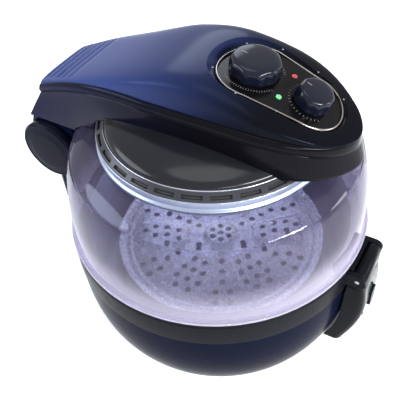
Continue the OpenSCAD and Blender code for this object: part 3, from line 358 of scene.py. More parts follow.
def tray_height(r, angle):
    """Height of the tray's sheet: petals and a boss are pressed up, the rim is ridged."""
    turn = (angle + math.pi / 6) % (math.pi / 3) - math.pi / 6
    side = np.abs(turn) * r
    half = 6 + 0.24 * (r - petal_in - 1)
    petal = smooth(r, petal_in, petal_in + 3) * (1 - smooth(r, petal_out - 3, petal_out))
    petal = petal * (1 - smooth(side, half + 3, half + 6))
    boss = 1 - smooth(r, boss_r - 3, boss_r)
    ridges = smooth(r, 106, 108) * (1 - smooth(r, 110, 112)) + smooth(r, 113, 115.5)
    rim = smooth(r, 116.5, 119.5)
    return tray_z + petal_lift * (petal + boss) + ridge_lift * ridges + (rim_lift - ridge_lift) * rim


def bands(rows, count, ring=False):
    """Faces between each closed row of points and the next. ring joins the last row to the
    first too."""
    return [[i * count + j, i * count + (j + 1) % count,
             (i + 1) % rows * count + (j + 1) % count, (i + 1) % rows * count + j]
            for i in range(rows if ring else rows - 1) for j in range(count)]


def capped(rows, count):
    """The faces of a closed solid: its rows joined in turn, with a cap at each end."""
    caps = [list(range(count))[::-1], list(range((rows - 1) * count, rows * count))]
    return caps + bands(rows, count)


radii = np.concatenate([np.linspace(start, end, count) for start, end, count in (
    (0.5, petal_in - 1, 20), (petal_in, petal_in + 3, 5), (petal_in + 5, petal_out - 4, 26),
    (petal_out - 3, petal_out, 5), (petal_out + 2, 105, 3), (106, tray_r, 22),
)])
tray_turns = 240
tray_rows = [(r, tray_sheet) for r in radii] + [(r, 0.0) for r in radii[::-1]]
tray_points = []
for r, lift in tray_rows:
    for k in range(tray_turns):
        a = 2 * math.pi * k / tray_turns
        tray_points.append((*polar(r, a), float(tray_height(r, a)) + lift))
tray_metal = finish(
    "pale tray metal", (0.74, 0.80, 0.90), (0.68, 0.74, 0.84), 0.26, scale=30.0, skin=1500.0, Metallic=0.75,
)


def evaluated_mesh(made):
    """The plain mesh that an object's modifiers give."""
    bpy.context.view_layer.update()
    graph = bpy.context.evaluated_depsgraph_get()
    return bpy.data.meshes.new_from_object(made.evaluated_get(graph))


def cut(made, cutter, operation="DIFFERENCE"):
    """Takes the cutter's shape out of a piece, and throws the cutter away."""
    change = made.modifiers.new("cut", "BOOLEAN")
    change.operation = operation
    change.solver = "EXACT"
    change.object = cutter
    mesh = evaluated_mesh(made)
    made.modifiers.clear()
    old = made.data
    made.data = mesh
    bpy.data.meshes.remove(old)
    bpy.data.objects.remove(cutter, do_unlink=True)
    return made


def shape_node(tree, kind, **settings):
    """A geometry node with its properties and its named sockets."""
    made = tree.nodes.new("GeometryNode" + kind)
    fill(tree, made, settings)
    return made


def scatter(name, places, maker, inputs):
    """Copies one small shape to each place with Geometry Nodes and returns a plain mesh
    object. maker builds the shape's nodes and returns its socket; inputs are its sizes."""
    tree = bpy.data.node_groups.new(name, "GeometryNodeTree")
    tree.interface.new_socket("Geometry", in_out="INPUT", socket_type="NodeSocketGeometry")
    for label, value in inputs.items():
        socket = tree.interface.new_socket(label, in_out="INPUT", socket_type="NodeSocketFloat")
        socket.default_value = value
    tree.interface.new_socket("Geometry", in_out="OUTPUT", socket_type="NodeSocketGeometry")
    given = tree.nodes.new("NodeGroupInput").outputs
    turn = shape_node(tree, "InputNamedAttribute", data_type="FLOAT_VECTOR", Name="turn")
    copies = shape_node(tree, "InstanceOnPoints", Points=given["Geometry"], Instance=maker(tree, given),
                        Rotation=turn.outputs["Attribute"])
    real = shape_node(tree, "RealizeInstances", Geometry=copies.outputs[0])
    coat = shape_node(tree, "SetMaterial", Geometry=real.outputs[0])
    put(tree, tree.nodes.new("NodeGroupOutput").inputs[0], coat.outputs[0])
    seeds = bpy.data.meshes.new(name)
    seeds.from_pydata([tuple(c / 1000 for c in p[0]) for p in places], [], [])
    turns = seeds.attributes.new("turn", "FLOAT_VECTOR", "POINT")
    turns.data.foreach_set("vector", [c for p in places for c in p[1]])
    made = bpy.data.objects.new(name, seeds)
    bpy.context.collection.objects.link(made)
    copier = made.modifiers.new("copies", "NODES")
    copier.node_group = tree
    for item in tree.interface.items_tree:
        if item.in_out == "INPUT" and item.name in inputs:
            copier[item.identifier] = float(inputs[item.name])
    mesh = evaluated_mesh(made)
    made.modifiers.clear()
    made.data = mesh
    return made


def disc_maker(sides):
    """An upright round plug with Radius and Depth inputs, in metres."""

    def build(tree, given):
        plug = shape_node(tree, "MeshCylinder", Vertices=sides, Radius=given["Radius"], Depth=given["Depth"])
        return plug.outputs["Mesh"]

    return build


petal_rows = ((50, (-6.5, 6.5)), (64, (-12, 0, 12)), (78, (-14, 0, 14)), (90, (-8, 8)))
holes = [(0.0, 0.0)]
for k in range(6):
    a = math.radians(60 * k)
    along, across = np.array((math.cos(a), math.sin(a))), np.array((-math.sin(a), math.cos(a)))
    for r, offsets in petal_rows:
        holes += [tuple(along * r + across * s) for s in offsets]
    b = a + math.radians(30)
    holes += [polar(r, b) for r in (30, 44, 58, 72)]
    for r in (86, 100):
        holes += [polar(r, b + s * math.radians(7.5 * 60 / r)) for s in (-1, 1)]
    holes.append(polar(11, b))
tray = piece("tray_sheet", tray_points, capped(len(tray_rows), tray_turns), tray_metal, None, sharp=50)
plugs = scatter("tray_plugs", [((x, y, tray_z + 1), (0, 0, 0)) for x, y in holes], disc_maker(18),
                {"Radius": 0.0036, "Depth": 0.012})
cut(tray, plugs)
dress(tray, tray_metal, "base", ["tray"], 50)

# Rear column: a hollow navy moulding with shoulders and the hinge's barrel on top, screwed to
# the base. Its bottom is closed by a black plate, and the gland and the terminals sit inside.
# The base's bottom plate, the feet, the lid switch and the lamp holders take the same finishes.


def carry(names, material):
    """Gives its finish to each CAD node that stays as it is."""
    for name in names:
        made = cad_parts[name]
        made.data.materials.clear()
        made.data.materials.append(material)


black_matt = finish("black moulding", (0.026, 0.026, 0.028), (0.014, 0.014, 0.016), 0.48, scuffs=0.15,
                    scale=22.0, skin=2200.0, bump=0.12)
black_rubber = finish("black rubber", (0.022, 0.022, 0.022), (0.013, 0.013, 0.013), 0.66, scuffs=0.12,
                      scale=40.0, skin=3000.0, bump=0.2)
white_ceramic = finish("unglazed ceramic", (0.80, 0.78, 0.71), (0.68, 0.66, 0.60), 0.62, scuffs=0.1,
                       scale=60.0, skin=2400.0, bump=0.25)
carry(["rear_column"], navy_enamel)
carry(["column_plate", "base_plate", "lid_switch"], black_matt)
carry(["cord_gland", "feet"], black_rubber)
carry(["terminal_block", "lamp_holders"], white_ceramic)

# Pins, screws, shafts and springs: turned and wound steel with a plain bright surface. The
# hinge's spring is wound round its pin, and the button's spring sits behind the button.
bright_steel = finish("turned steel", (0.62, 0.63, 0.65), (0.46, 0.47, 0.49), 0.24, scuffs=0.2, scale=60.0,
                      Metallic=1.0)
spring_steel = finish("spring steel", (0.42, 0.43, 0.45), (0.28, 0.29, 0.31), 0.36, scuffs=0.2, scale=90.0,
                      Metallic=1.0)
carry(["base_screws", "housing_screws", "hinge_pin", "motor_shaft", "timer_shaft", "thermostat_shaft"],
      bright_steel)
carry(["hinge_spring", "button_spring", "handle_pin"], spring_steel)

# Wire rack and lamp guard: steel wire, bent, welded at its crossings and chromed bright. The
# rack stands in the pot and the guard hangs under the lamp.
chrome_wire = finish("chrome wire", (0.72, 0.73, 0.76), (0.52, 0.53, 0.57), 0.12, scuffs=0.15, scale=70.0,
                     Metallic=1.0)
carry(["wire_rack", "lamp_guard"], chrome_wire)

# Dome: one clear moulding in a violet-blue tint, a little hazy, with a painted pale reflection
# low down near the flange. It has a flange with three fine rings below, a crease at the shoulder,
# and an inward rim at the neck with three notches.
flange_z = rim_z + 0.8
flange_top, shoulder_z, neck_z = flange_z + 3.5, flange_z + 91, flange_z + 104
dome_r, shoulder_r, neck_r, collar_r, dome_wall = 161.0, 150.0, 120.0, 108.0, 2.5
wall_line = [
    (dome_r - 0.1, flange_top + 5), (dome_r - 0.4, flange_z + 20), (dome_r - 1.1, flange_z + 34),
    (dome_r - 2.3, flange_z + 48), (dome_r - 3.9, flange_z + 61), (dome_r - 6.0, flange_z + 73),
    (dome_r - 8.4, flange_z + 82), (shoulder_r + 0.6, flange_z + 88.4), (shoulder_r, shoulder_z - 1.6),
    (shoulder_r - 0.7, shoulder_z - 0.3), (shoulder_r - 2.2, shoulder_z + 0.2),
]
roof = []
roof_steps = 16
bend_in, bend_up = shoulder_r - 2.2, shoulder_z + 0.2
for k in range(1, roof_steps + 1):
    t = k / roof_steps
    roof.append((bend_in + (neck_r - bend_in) * t,
                 bend_up + (neck_z - bend_up) * math.sin(math.pi / 2 * t ** 0.85)))
flange = rounded([
    (rim_r - 0.02, flange_z, 0.5), (rim_r - 0.02, flange_top - 0.6, 0.7), (rim_r - 0.9, flange_top, 0.5),
    (rim_r - 1.4, flange_top, 0.3), (rim_r - 1.7, flange_top - 0.7, 0.2), (rim_r - 2.0, flange_top, 0.3),
    (rim_r - 2.6, flange_top + 0.3, 0.3), (rim_r - 2.9, flange_top - 0.4, 0.2),
    (rim_r - 3.2, flange_top + 0.8, 0.4), (dome_r + 0.2, flange_top + 1.6, 0.8),
], 3)
inner = [(r - dome_wall, z) for r, z in wall_line[:-2]] + [(r - 0.7, z - dome_wall) for r, z in roof[:-1]]
dome_outline = flange + wall_line + roof + [(collar_r, neck_z), (collar_r, neck_z - dome_wall),
                                            (neck_r - 0.7, neck_z - dome_wall)]
dome_outline += inner[::-1] + [(dome_r - dome_wall - 0.1, flange_z)]


def tinted_glass(name, tint, roughness, scuffs, haze_and_reflection=None):
    """Clear tinted plastic or glass. A shadow ray passes it as tinted light, so the inside is lit.
    haze_and_reflection gives a darker colour high up and a paler one low down, painted as a reflection, the
    heights where they are met, and their share."""
    material = finish(name, tint, tint, roughness, scuffs=scuffs, scale=10.0, skin=60.0, bump=0.03,
                      depth=0.001, Transmission_Weight=1.0, IOR=1.12, Coat_Weight=0.5, Coat_Roughness=0.03)
    tree = material.node_tree
    clear = tree.nodes["Principled BSDF"].outputs[0]
    if haze_and_reflection:
        upper_tone, painted_pale, upper_z, painted_pale_z, share = haze_and_reflection
        apart = node(tree, "SeparateXYZ", object_place(tree))
        along = node(tree, "MapRange", interpolation_type="SMOOTHSTEP", Value=apart.outputs[2],
                     From_Min=upper_z, From_Max=painted_pale_z)
        veil = node(tree, "BsdfDiffuse", mixed(tree, along.outputs[0], (*upper_tone, 1), (*painted_pale, 1)))
        clear = node(tree, "MixShader", share, clear, veil.outputs[0]).outputs[0]
    through = node(tree, "BsdfTransparent", (*[0.5 + 0.5 * c for c in tint], 1))
    shadow = node(tree, "LightPath").outputs["Is Shadow Ray"]
    blend = node(tree, "MixShader", shadow, clear, through.outputs[0])
    put(tree, tree.nodes["Material Output"].inputs["Surface"], blend.outputs[0])
    return material


def prism(low, high):
    """Points and faces of a solid between two closed outlines."""
    return low + high, capped(2, len(low))


def carve(made, name, shape, operation="DIFFERENCE"):
    """Takes a solid, given by its points and faces, out of a piece, or joins it on."""
    cut(made, piece(name, *shape, made.data.materials[0], None), operation)


# The dome's veil is painted pale near the flange, as a reflection, and darker higher up.
dome_clear = tinted_glass("tinted dome", (0.76, 0.74, 0.87), 0.02, 0.05,
                          ((0.050, 0.042, 0.075), (0.54, 0.51, 0.60), 0.190, 0.143, 0.30))
dome = piece("dome_shell", *revolved(dome_outline, 224), dome_clear, None)
notch_in, notch_out, notch_half = 90, 113, 13.5
for middle in (60, 180, 300):
    ring = arc(0, 0, notch_in, middle - notch_half, middle + notch_half, 1)
    ring += arc(0, 0, notch_out, middle + notch_half, middle - notch_half, 10)
    notch = prism([(x, y, neck_z - 8) for x, y in ring], [(x, y, neck_z + 4) for x, y in ring])
    carve(dome, "notch", notch)
dress(dome, dome_clear, "dome", ["dome"], 28)

# Dome seal: a grey silicone hoop pushed on under the flange. It closes the gap between the
# dome and the rim band.
grey_silicone = finish("grey silicone", (0.26, 0.27, 0.29), (0.20, 0.21, 0.23), 0.5, scale=50.0)
carry(["dome_seal"], grey_silicone)

# Bayonet collar, reflector and motor bracket: bright sheet, pressed and turned, that hangs
# under the head. The collar's lugs hold the dome.
bright_sheet = turned_metal("bright sheet", (0.78, 0.79, 0.81), (0.62, 0.63, 0.66), 0.12, 0.14, 500.0)
carry(["bayonet_collar", "reflector", "motor_bracket"], bright_sheet)

# Neck ring: a satin silver-blue ring of anodised metal, stepped like a stair, that hides
# the joint between the dome and the head.
neck_low = neck_z + 0.3
ring_top = neck_low + 11.38
neck_outline = rounded([
    (collar_r - 0.38, neck_low, 0), (119.0, neck_low, 0.5), (119.0, neck_low + 2.6, 1.2),
    (116.9, neck_low + 4.6, 1.4), (116.5, ring_top - 1.2, 0.3), (116.1, ring_top, 0.5),
    (collar_r - 0.38, ring_top, 0),
])
neck_silver = turned_metal("anodised silver blue", (0.46, 0.52, 0.66), (0.34, 0.40, 0.54), 0.24, 0.12, 420.0)
piece("neck_trim", *revolved(neck_outline, 224), neck_silver, "lid", ["neck_ring"], "neck_silver")

# Vent ring: a glossy black moulding with 28 long air slots on its sloping face, over a matt
# lining. A bright edge runs round its top and its foot.
vent_z = neck_low + 11.4
head_z = vent_z + 8.5
vent_r, slots = 117.4, 28
vent_outline = rounded([
    (collar_r - 8, vent_z, 0), (vent_r, vent_z, 0.4), (vent_r, vent_z + 2.5, 0.8), (110.4, head_z - 1, 0.8),
    (108.5, head_z, 0.3), (collar_r - 8, head_z, 0), (collar_r - 8, head_z - 2.5, 0),
    (107, head_z - 2.5, 0), (vent_r - 3, vent_z + 2.4, 0), (collar_r - 8, vent_z + 2.4, 0),
])
vent_black = finish("black vent", (0.034, 0.036, 0.044), (0.022, 0.024, 0.030), 0.22, scale=30.0,
                    Specular_IOR_Level=0.3)
vent = piece("vent_hoop", *revolved(vent_outline, 224), vent_black, None)


def slot_maker(tree, given):
    """A long square plug, lying along its own Y, with Length, Width and Depth, in metres."""
    size = node(tree, "CombineXYZ", given["Width"], given["Length"], given["Depth"])
    return shape_node(tree, "MeshCube", Size=size.outputs[0]).outputs["Mesh"]


slope, slot_r = math.atan2(5.0, 7.0), 113.9
places = []
for k in range(slots):
    a = 2 * math.pi * (k + 0.5) / slots
    places.append(((*polar(slot_r, a), vent_z + 4.5), (0, slope, a)))
cut(vent, scatter("vent_plugs", places, slot_maker, {"Length": 0.019, "Width": 0.0036, "Depth": 0.012}))
dress(vent, vent_black, "lid", ["vent_ring"])
lining = [(113.6, vent_z + 2.5), (106.3, head_z - 2.6), (105.7, head_z - 2.6), (113.0, vent_z + 2.5)]
piece("vent_lining", *revolved(lining[::-1], 224), black_matt, "lid", (), "vent_black")
edge_silver = finish("polished edge", (0.48, 0.50, 0.56), (0.38, 0.40, 0.46), 0.14, scale=60.0, Metallic=1.0)
for label, r, z in (("upper", 109.5, head_z - 0.3), ("lower", vent_r + 0.05, vent_z + 0.9)):
    bead = arc(r, z, 0.6, 0, 330, 11)
    piece("vent_edge_" + label, *revolved(bead, 224), edge_silver, "lid", (), "neck_silver")

# Head cover: a low glossy dome of near-black plastic over the motor, open in its middle. It
# is clipped to the vent ring, inside which the motor, the fans and the lamp are hung.
head_r, head_hole, head_rise, head_wall = 108.5, 40.0, 15.0, 2.4


def head_line(inset, angles):
    """A quarter ellipse of the cover's side view."""
    return [(float((head_r - head_hole - inset) * math.cos(a) + head_hole),
             float(head_z + 0.02 + (head_rise - inset) * math.sin(a))) for a in angles]


cover_line = head_line(0.0, np.linspace(0, math.pi / 2, 40))
under_line = head_line(head_wall, np.linspace(math.pi / 2, 0, 24))
head_gloss = finish("dark head gloss", (0.010, 0.011, 0.014), (0.007, 0.008, 0.010), 0.14, scale=9.0,
                    bump=0.01, Specular_IOR_Level=0.24)
piece("head_cover", *revolved(cover_line + under_line, 224), head_gloss, "lid", ["head_shell"], "head_gloss")
carry(["halogen_lamp"], tinted_glass("quartz tube", (0.96, 0.94, 0.90), 0.06, 0.02))
carry(["hot_air_fan"], finish("rolled aluminium", (0.60, 0.61, 0.63), (0.46, 0.47, 0.50), 0.3, Metallic=1.0))
motor_enamel = finish("motor enamel", (0.20, 0.20, 0.21), (0.13, 0.13, 0.14), 0.42, scuffs=0.15, scale=50.0)
carry(["motor"], motor_enamel)
carry(["cooling_fan"], black_matt)

# Lower housing: one black gloss moulding that carries the top. A rolled shoulder runs under
# the seam, the nose and the side walls flare below it, and the tail turns down into the two
# hinge arms. Its colour goes from near black in front to a dark navy behind, a painted sheen.
# Painted sheen: the colour is blended from near black in front to a bluish dark navy towards the tail.
black_gloss = finish(
    "black gloss", (0.004, 0.004, 0.006), (0.002, 0.002, 0.003), 0.14, scuffs=0.07, scale=8.0, skin=1400.0,
    bump=0.015, painted_sheen_fade=((0.005, 0.007, 0.026), -0.03, 0.17), Specular_IOR_Level=0.06,
)
hinge_y, hinge_z = 188.0, 185.0
seam_w, seam_z, tail_y, nose_y = 58.0, 304.0, 186.0, 147.0
seam_tail_w, seam_tail_z, nose_start = 40.0, 268.0, -60.0
box_low, box_half, box_rear, nose_low = hinge_z + 41, 49.5, hinge_y + 18, 260.0
shoulder_drop, shoulder_out, roll_out, roll_up, side_bulge = 9, 4, 4.5, 6.5, 0.8


def nose_t(y, tip):
    """Share of the way from where the nose starts to its tip."""
    return min(1.0, max(0.0, (nose_start - y) / (tip + nose_start)))


def nose_round(y, tip, power):
    """How much of the full width is left on the rounded nose."""
    return max(0.0, 1 - nose_t(y, tip) ** 2) ** power


def tail_t(y):
    """Share of the way from the middle to the tail."""
    return max(0.0, y - 40) / (tail_y - 40)


def seam_half(y):
    """Half the width at the seam between the housing and the cover."""
    return (seam_w - (seam_w - seam_tail_w) * tail_t(y) ** 1.25) * nose_round(y, nose_y, 0.55)


def seam_height(y):
    """Height of that seam."""
    return seam_z - 18 * nose_t(y, nose_y) ** 2 - (seam_z - seam_tail_z) * tail_t(y) ** 2


def step(v, a, b):
    """The same step as a plain number."""
    return float(smooth(v, a, b))


def skirt_half(y):
    """Half the width at the housing's lower edge."""
    wide = seam_w + 4
    return (wide - (wide - box_half) * step(y, 60, 150)) * nose_round(y, nose_y + 5, 0.55)


def skirt_low(y):
    """Height of that lower edge."""
    return nose_low - (nose_low - box_low) * step(y, 96, 128)


def stations(y0, y1, count):
    """Places along the oven, closer together towards the nose."""
    return [y0 + (y1 - y0) * (1 - math.cos(math.pi / 2 * (k / count) ** 0.9)) for k in range(count + 1)]


def loft(sections):
    """Points and faces of closed sections joined in turn, with a strip at each end. Each
    section mirrors itself end for end."""
    n, m = len(sections[0]), len(sections)
    points = [p for s in sections for p in s]
    faces = bands(m, n)
    for at, turn in ((0, -1), ((m - 1) * n, 1)):
        for j in range((n + 1) // 2 - 1):
            strip = [at + j, at + j + 1, at + n - 2 - j, at + n - 1 - j]
            if strip[1] == strip[2]:
                strip = [strip[0], strip[1], strip[3]]
            faces.append(strip[::turn])
    return points, faces


def housing_section(y, ys, inset, lift):
    """One section of the lower housing, from its lower edge up to the seam and back down."""
    grow = nose_round(y, nose_y, 0.5)
    w0, z0 = max(0.4, seam_half(y) - inset), seam_height(y)
    w2, z2 = max(0.6, skirt_half(ys) - inset), skirt_low(ys) + inset
    w1, z1 = w0 + shoulder_out * grow, z0 - shoulder_drop
    if inset:
        middle = ((w1 + w2) / 2 + 0.5, (y + ys) / 2, (z1 + z2) / 2)
        side = [(w2, ys, z2), middle, (w1, y, z1), (w0, y, z0 + lift)]
    else:
        side = [(w2 - 1.0 * grow, ys, z2), (w2 - 0.1, ys, z2 + 1.0)]
        for k in range(1, 10):
            t = k / 10
            bulge = side_bulge * math.sin(math.pi * t) * grow
            side.append((w2 + (w1 - w2) * t + bulge, ys + (y - ys) * t, z2 + 1 + (z1 - 0.6 - z2 - 1) * t))
        side += [(w1 + out * grow, y, z1 + up)
                 for out, up in ((0.2, -0.5), (-0.7, 0.2), (-0.9, 0.9), (-0.1, 1.5))]
        roll_z = z1 + (shoulder_drop - roll_up)
        side += [(w0 + roll_out * grow * math.cos(a), y, roll_z + roll_up * math.sin(a))
                 for a in np.linspace(0, math.pi / 2, 9).tolist()]
    return side + [(-x, a, b) for x, a, b in side[::-1]]


def housing_solid(name, inset, lift, count):
    """The housing's outer shape, or the room in it where there is an inset."""
    tops = stations(0.15 - nose_y + inset, tail_y - inset, count)
    feet = stations(-nose_y - 4.8 + inset, box_rear - inset, count)
    sections = [housing_section(y, ys, inset, lift) for y, ys in zip(tops, feet)]
    return piece(name, *loft(sections), black_gloss, None)


eye_r, arm_in, arm_w, bore_r = 33, 29.5, 13.5, 4.05
eye = arc(hinge_y, hinge_z, eye_r, -190, 20, 44)
arm_line = eye + [(box_rear - 0.8, box_low + 6), (hinge_y - 30, box_low + 6)]
housing = housing_solid("housing_shell", 0.0, 0.0, 110)
cut(housing, housing_solid("housing_room", 2.6, 6.0, 60))
for x0, x1 in ((-arm_in - arm_w, -arm_in), (arm_in, arm_in + arm_w)):
    arm = prism([(x0, y, z) for y, z in arm_line], [(x1, y, z) for y, z in arm_line])
    carve(housing, "arm", arm, "UNION")
head_space = [(0, vent_z - 30), (vent_r + 0.3, vent_z - 30), (vent_r + 0.3, vent_z + 2.7)]
head_space += [(head_r + 1.2, head_z)] + [(r + 0.3, z + 0.3) for r, z in cover_line[1:]]
head_space += [(0, head_z + head_rise + 0.32)]
carve(housing, "head_space", revolved(head_space, 160))
dome_space = [(0, flange_z - 40), (rim_r + 1.2, flange_z - 40), (rim_r + 1.2, flange_top)]
dome_space += [(r + 1.2, z + (1.2 if k > 7 else 0)) for k, (r, z) in enumerate(wall_line)]
dome_space += [(r + 0.6, z + 1.2) for r, z in roof] + [(0, neck_z + 1.2)]
carve(housing, "dome_space", revolved(dome_space, 160))
bore_line = arc(hinge_y, hinge_z, bore_r, 0, 348.75, 31)
carve(housing, "bore", prism([(-60, y, z) for y, z in bore_line], [(60, y, z) for y, z in bore_line]))
dress(housing, black_gloss, "lid", ["lower_housing"], 30)

# Top cover: the glossy arched shell that snaps on the lower housing, near black in front and
# navy behind, where the navy is a painted bluish sheen. The panel sits in a walled opening,
# with short dark slots and bright pins round it, and four louvres are raised near the tail.
# Painted sheen: the colour is blended from near black in front to a bright navy towards the tail.
navy_gloss = finish(
    "navy gloss", (0.004, 0.004, 0.006), (0.002, 0.002, 0.003), 0.18, scuffs=0.07, scale=8.0, skin=1400.0,
    bump=0.015, painted_sheen_fade=((0.038, 0.060, 0.200), -0.08, 0.14), Specular_IOR_Level=0.06,
    Specular_Tint=(0.5, 0.65, 1.0, 1.0),
)
crest_tail, crest_z, crest_y, panel_recess = 272.5, 338.0, -19.0, 3.3
arch_share, arch_power = 0.785, 1.44
panel_y, panel_z, tilt, bend_r = -72.0, 318.0, math.radians(16), 220.0
bend_y, bend_z = panel_y + bend_r * math.sin(tilt), panel_z - bend_r * math.cos(tilt)
front_slope = math.radians(30)
straight_y = bend_y - bend_r * math.sin(front_slope)


def crest(y):
    """Height of the cover's top line: the bent panel in front, an arch behind."""
    t = max(0.0, y - crest_y) / (tail_y - crest_y)
    fall = arch_share * t ** arch_power + (1 - arch_share) / 2 * (1 - math.cos(math.pi * t))
    arch = crest_z - (crest_z - crest_tail) * fall
    at = max(y, straight_y)
    bent = bend_z + math.sqrt(max(0.0, bend_r ** 2 - (at - bend_y) ** 2)) - (at - y) * math.tan(front_slope)
    k = step(y, -80, 29)
    middle = (bent + panel_recess) * (1 - k) + arch * k
    return seam_height(y) + max(2.6, (middle - seam_height(y)) * nose_round(y, nose_y, 0.55))


def section_powers(y):
    """The cover's section is boxy in front and rounder near the tail."""
    k = step(y, 40, 130)
    return 0.54 + 0.08 * k, 0.25 + 0.56 * k


louvre_start, louvre_end, louvre_pitch, louvre_lift, louvre_groove = 141, 182, 10, 1.9, 1.2


def louvre(x, y):
    """Four grooves and the ridges between them, across the lower part near the tail."""
    across = 1 - step(abs(x), seam_half(y) - 9, seam_half(y) - 4)
    block = step(y, louvre_start - 2, louvre_start + 2) * (1 - step(y, louvre_end - 1, louvre_end + 2))
    wave = 0.5 - 0.5 * math.cos(2 * math.pi * (y - louvre_start) / louvre_pitch)
    return block * across * (louvre_lift * wave ** 0.6 - louvre_groove)


def cover_height(x, y):
    """Height of the cover's skin over a point within its outline."""
    across, up = section_powers(y)
    c = min(1.0, abs(x) / seam_half(y)) ** (1 / across)
    return seam_height(y) + (crest(y) - seam_height(y)) * math.sqrt(max(0.0, 1 - c * c)) ** up


def cover_section(y, inset, lip, steps=72):
    """One section of the cover, its points evenly apart, from seam to seam."""
    w, z0 = max(0.6, seam_half(y) - inset), seam_height(y)
    across, up = section_powers(y)
    a = np.linspace(0, math.pi, 1201)
    x = w * np.sign(np.cos(a)) * np.abs(np.cos(a)) ** across
    z = z0 + (crest(y) - z0 - inset) * np.maximum(0, np.sin(a)) ** up
    run = np.concatenate([[0], np.cumsum(np.hypot(np.diff(x), np.diff(z)))])
    even = np.linspace(0, run[-1], steps + 1)
    x, z = np.interp(even, run, x), np.interp(even, run, z)
    out = [(float(u), y, float(v) + (0 if inset else louvre(u, y) - 0.2)) for u, v in zip(x, z)]
    if lip:
        out = [(out[0][0], y, z0 - lip)] + out + [(out[-1][0], y, z0 - lip)]
    return out


def cover_solid(name, inset, lip, count):
    """The cover's outer shape, or the room in it where there is an inset."""
    places = stations(0.15 - nose_y + inset, tail_y - inset, count)
    return piece(name, *loft([cover_section(y, inset, lip) for y in places]), navy_gloss, None)


def egg(grow, steps=28):
    """The panel's outline: a large round end behind and a small one in front."""
    rear_y, front_y, rear_r, front_r = 25.0, -28.0, 36.0, 30.0
    a = math.degrees(math.asin((rear_r - front_r) / (rear_y - front_y)))
    return (arc(0, rear_y, rear_r + grow, -a, 180 + a, steps + 6)
            + arc(0, front_y, front_r + grow, 180 + a, 360 - a, steps))


def on_panel(x, y, z):
    """A point of the panel's own frame, whose origin is midway between the knobs."""
    up, along = math.sin(tilt), math.cos(tilt)
    return (x, panel_y + y * along - z * up, panel_z + y * up + z * along)


def on_bend(x, y, z):
    """A point at a height over the panel's bent surface."""
    return on_panel(x, y, z - bend_r + math.sqrt(bend_r ** 2 - y ** 2))


def by_knob(s, x, y, z):
    """A point of a knob's own frame, which lies s along the bend and square to it."""
    turn, reach = -s / bend_r, z + bend_r
    along = y * math.cos(turn) - reach * math.sin(turn)
    return on_panel(x, along, y * math.sin(turn) + reach * math.cos(turn) - bend_r)


def panel_well(wall, drop, depth):
    """The well round the panel: straight below the panel, a slope of 45 degrees above it."""
    stairs = ((0, -depth), (0, -drop), (0.4, 0.6 - drop), (1.3, 1.6 - drop), (12, 12.3 - drop))
    rows = [[on_bend(x, y, z) for x, y in egg(2.0 + wall + grow)] for grow, z in stairs]
    return [point for row in rows for point in row], capped(len(rows), len(rows[0]))


def along_egg(grow, start, end, count):
    """Even points on the outline between two shares of its length."""
    ring = np.array(egg(grow) + egg(grow)[:1])
    run = np.concatenate([[0], np.cumsum(np.hypot(*np.diff(ring, axis=0).T))])
    at = (np.linspace(start, end, count) % 1.0) * run[-1]
    return list(zip(np.interp(at, run, ring[:, 0]), np.interp(at, run, ring[:, 1])))


def on_well(x, y, grow):
    """A point on the well's slope, or on the cover's skin where that is lower."""
    _, across, slope_z = on_bend(x, y, grow - 1.7)
    _, under, _ = on_bend(x, y, 0)
    return (float(x), float(across), float(min(slope_z, cover_height(float(x), under))))


cover = cover_solid("cover_shell", 0.0, 0.0, 170)
room = cover_solid("cover_room", 2.6, 12.0, 70)
carve(room, "well_wall", panel_well(2.6, 1, 8))
cut(cover, room)
carve(cover, "well", panel_well(0, 0, 24))
slot_in, slot_out, slot_deep, pin_out = 3.5, 5.2, 1.3, 4.4
slot_shares = ((0.15, 0.205), (0.295, 0.33), (0.385, 0.435), (0.495, 0.545), (0.725, 0.775), (0.84, 0.87))
for start, end in slot_shares:
    low = [on_well(x, y, slot_in) for x, y in along_egg(slot_in, start, end, 9)]
    low += [on_well(x, y, slot_out) for x, y in along_egg(slot_out, start, end, 9)[::-1]]
    low = [(x, y, z - slot_deep) for x, y, z in low]
    carve(cover, "slot", prism(low, [(x, y, z + 12) for x, y, z in low]))
dress(cover, navy_gloss, "lid", ["top_cover"], 34)
places = []
for share in (0.0, 0.1, 0.255, 0.378, 0.488, 0.785, 0.885):
    (x, y), = along_egg(pin_out, share, share, 1)
    places.append((on_well(x, y, pin_out), (tilt, 0, 0)))
pins = scatter("cover_pins", places, disc_maker(16), {"Radius": 0.0009, "Depth": 0.0018})
dress(pins, edge_silver, "lid", ())

# Hinge caps: round dished plastic covers, pressed on the outside of the two hinge arms. They
# hide the pin's ends.
cap_face, cap_r = 43.0, 36.0
cap_outline = rounded([
    (0, 0.02, 0), (12, 0.02, 0.5), (12, 3, 0.5), (cap_r - 1, 3, 0.6), (cap_r, 4, 0.8), (cap_r, 10, 1.4),
    (cap_r - 2.2, 12.6, 1.2), (cap_r - 3.4, 12.8, 0.6), (cap_r - 4.4, 12.2, 0.8), (22, 13.6, 6),
    (0, 14.4, 0),
], 4)
cap_black = finish("cap gloss", (0.009, 0.010, 0.020), (0.004, 0.005, 0.010), 0.24, scuffs=0.1, scale=20.0,
                   Specular_IOR_Level=0.03)
disc, faces = revolved(cap_outline, 128)
for side, label in ((-1, "left"), (1, "right")):
    points = [(side * (cap_face + z), hinge_y + x, hinge_z + y) for x, y, z in disc]
    piece("cap_" + label, points, faces, cap_black, "lid", ["hinge_cap_" + label], "cap_plastic")

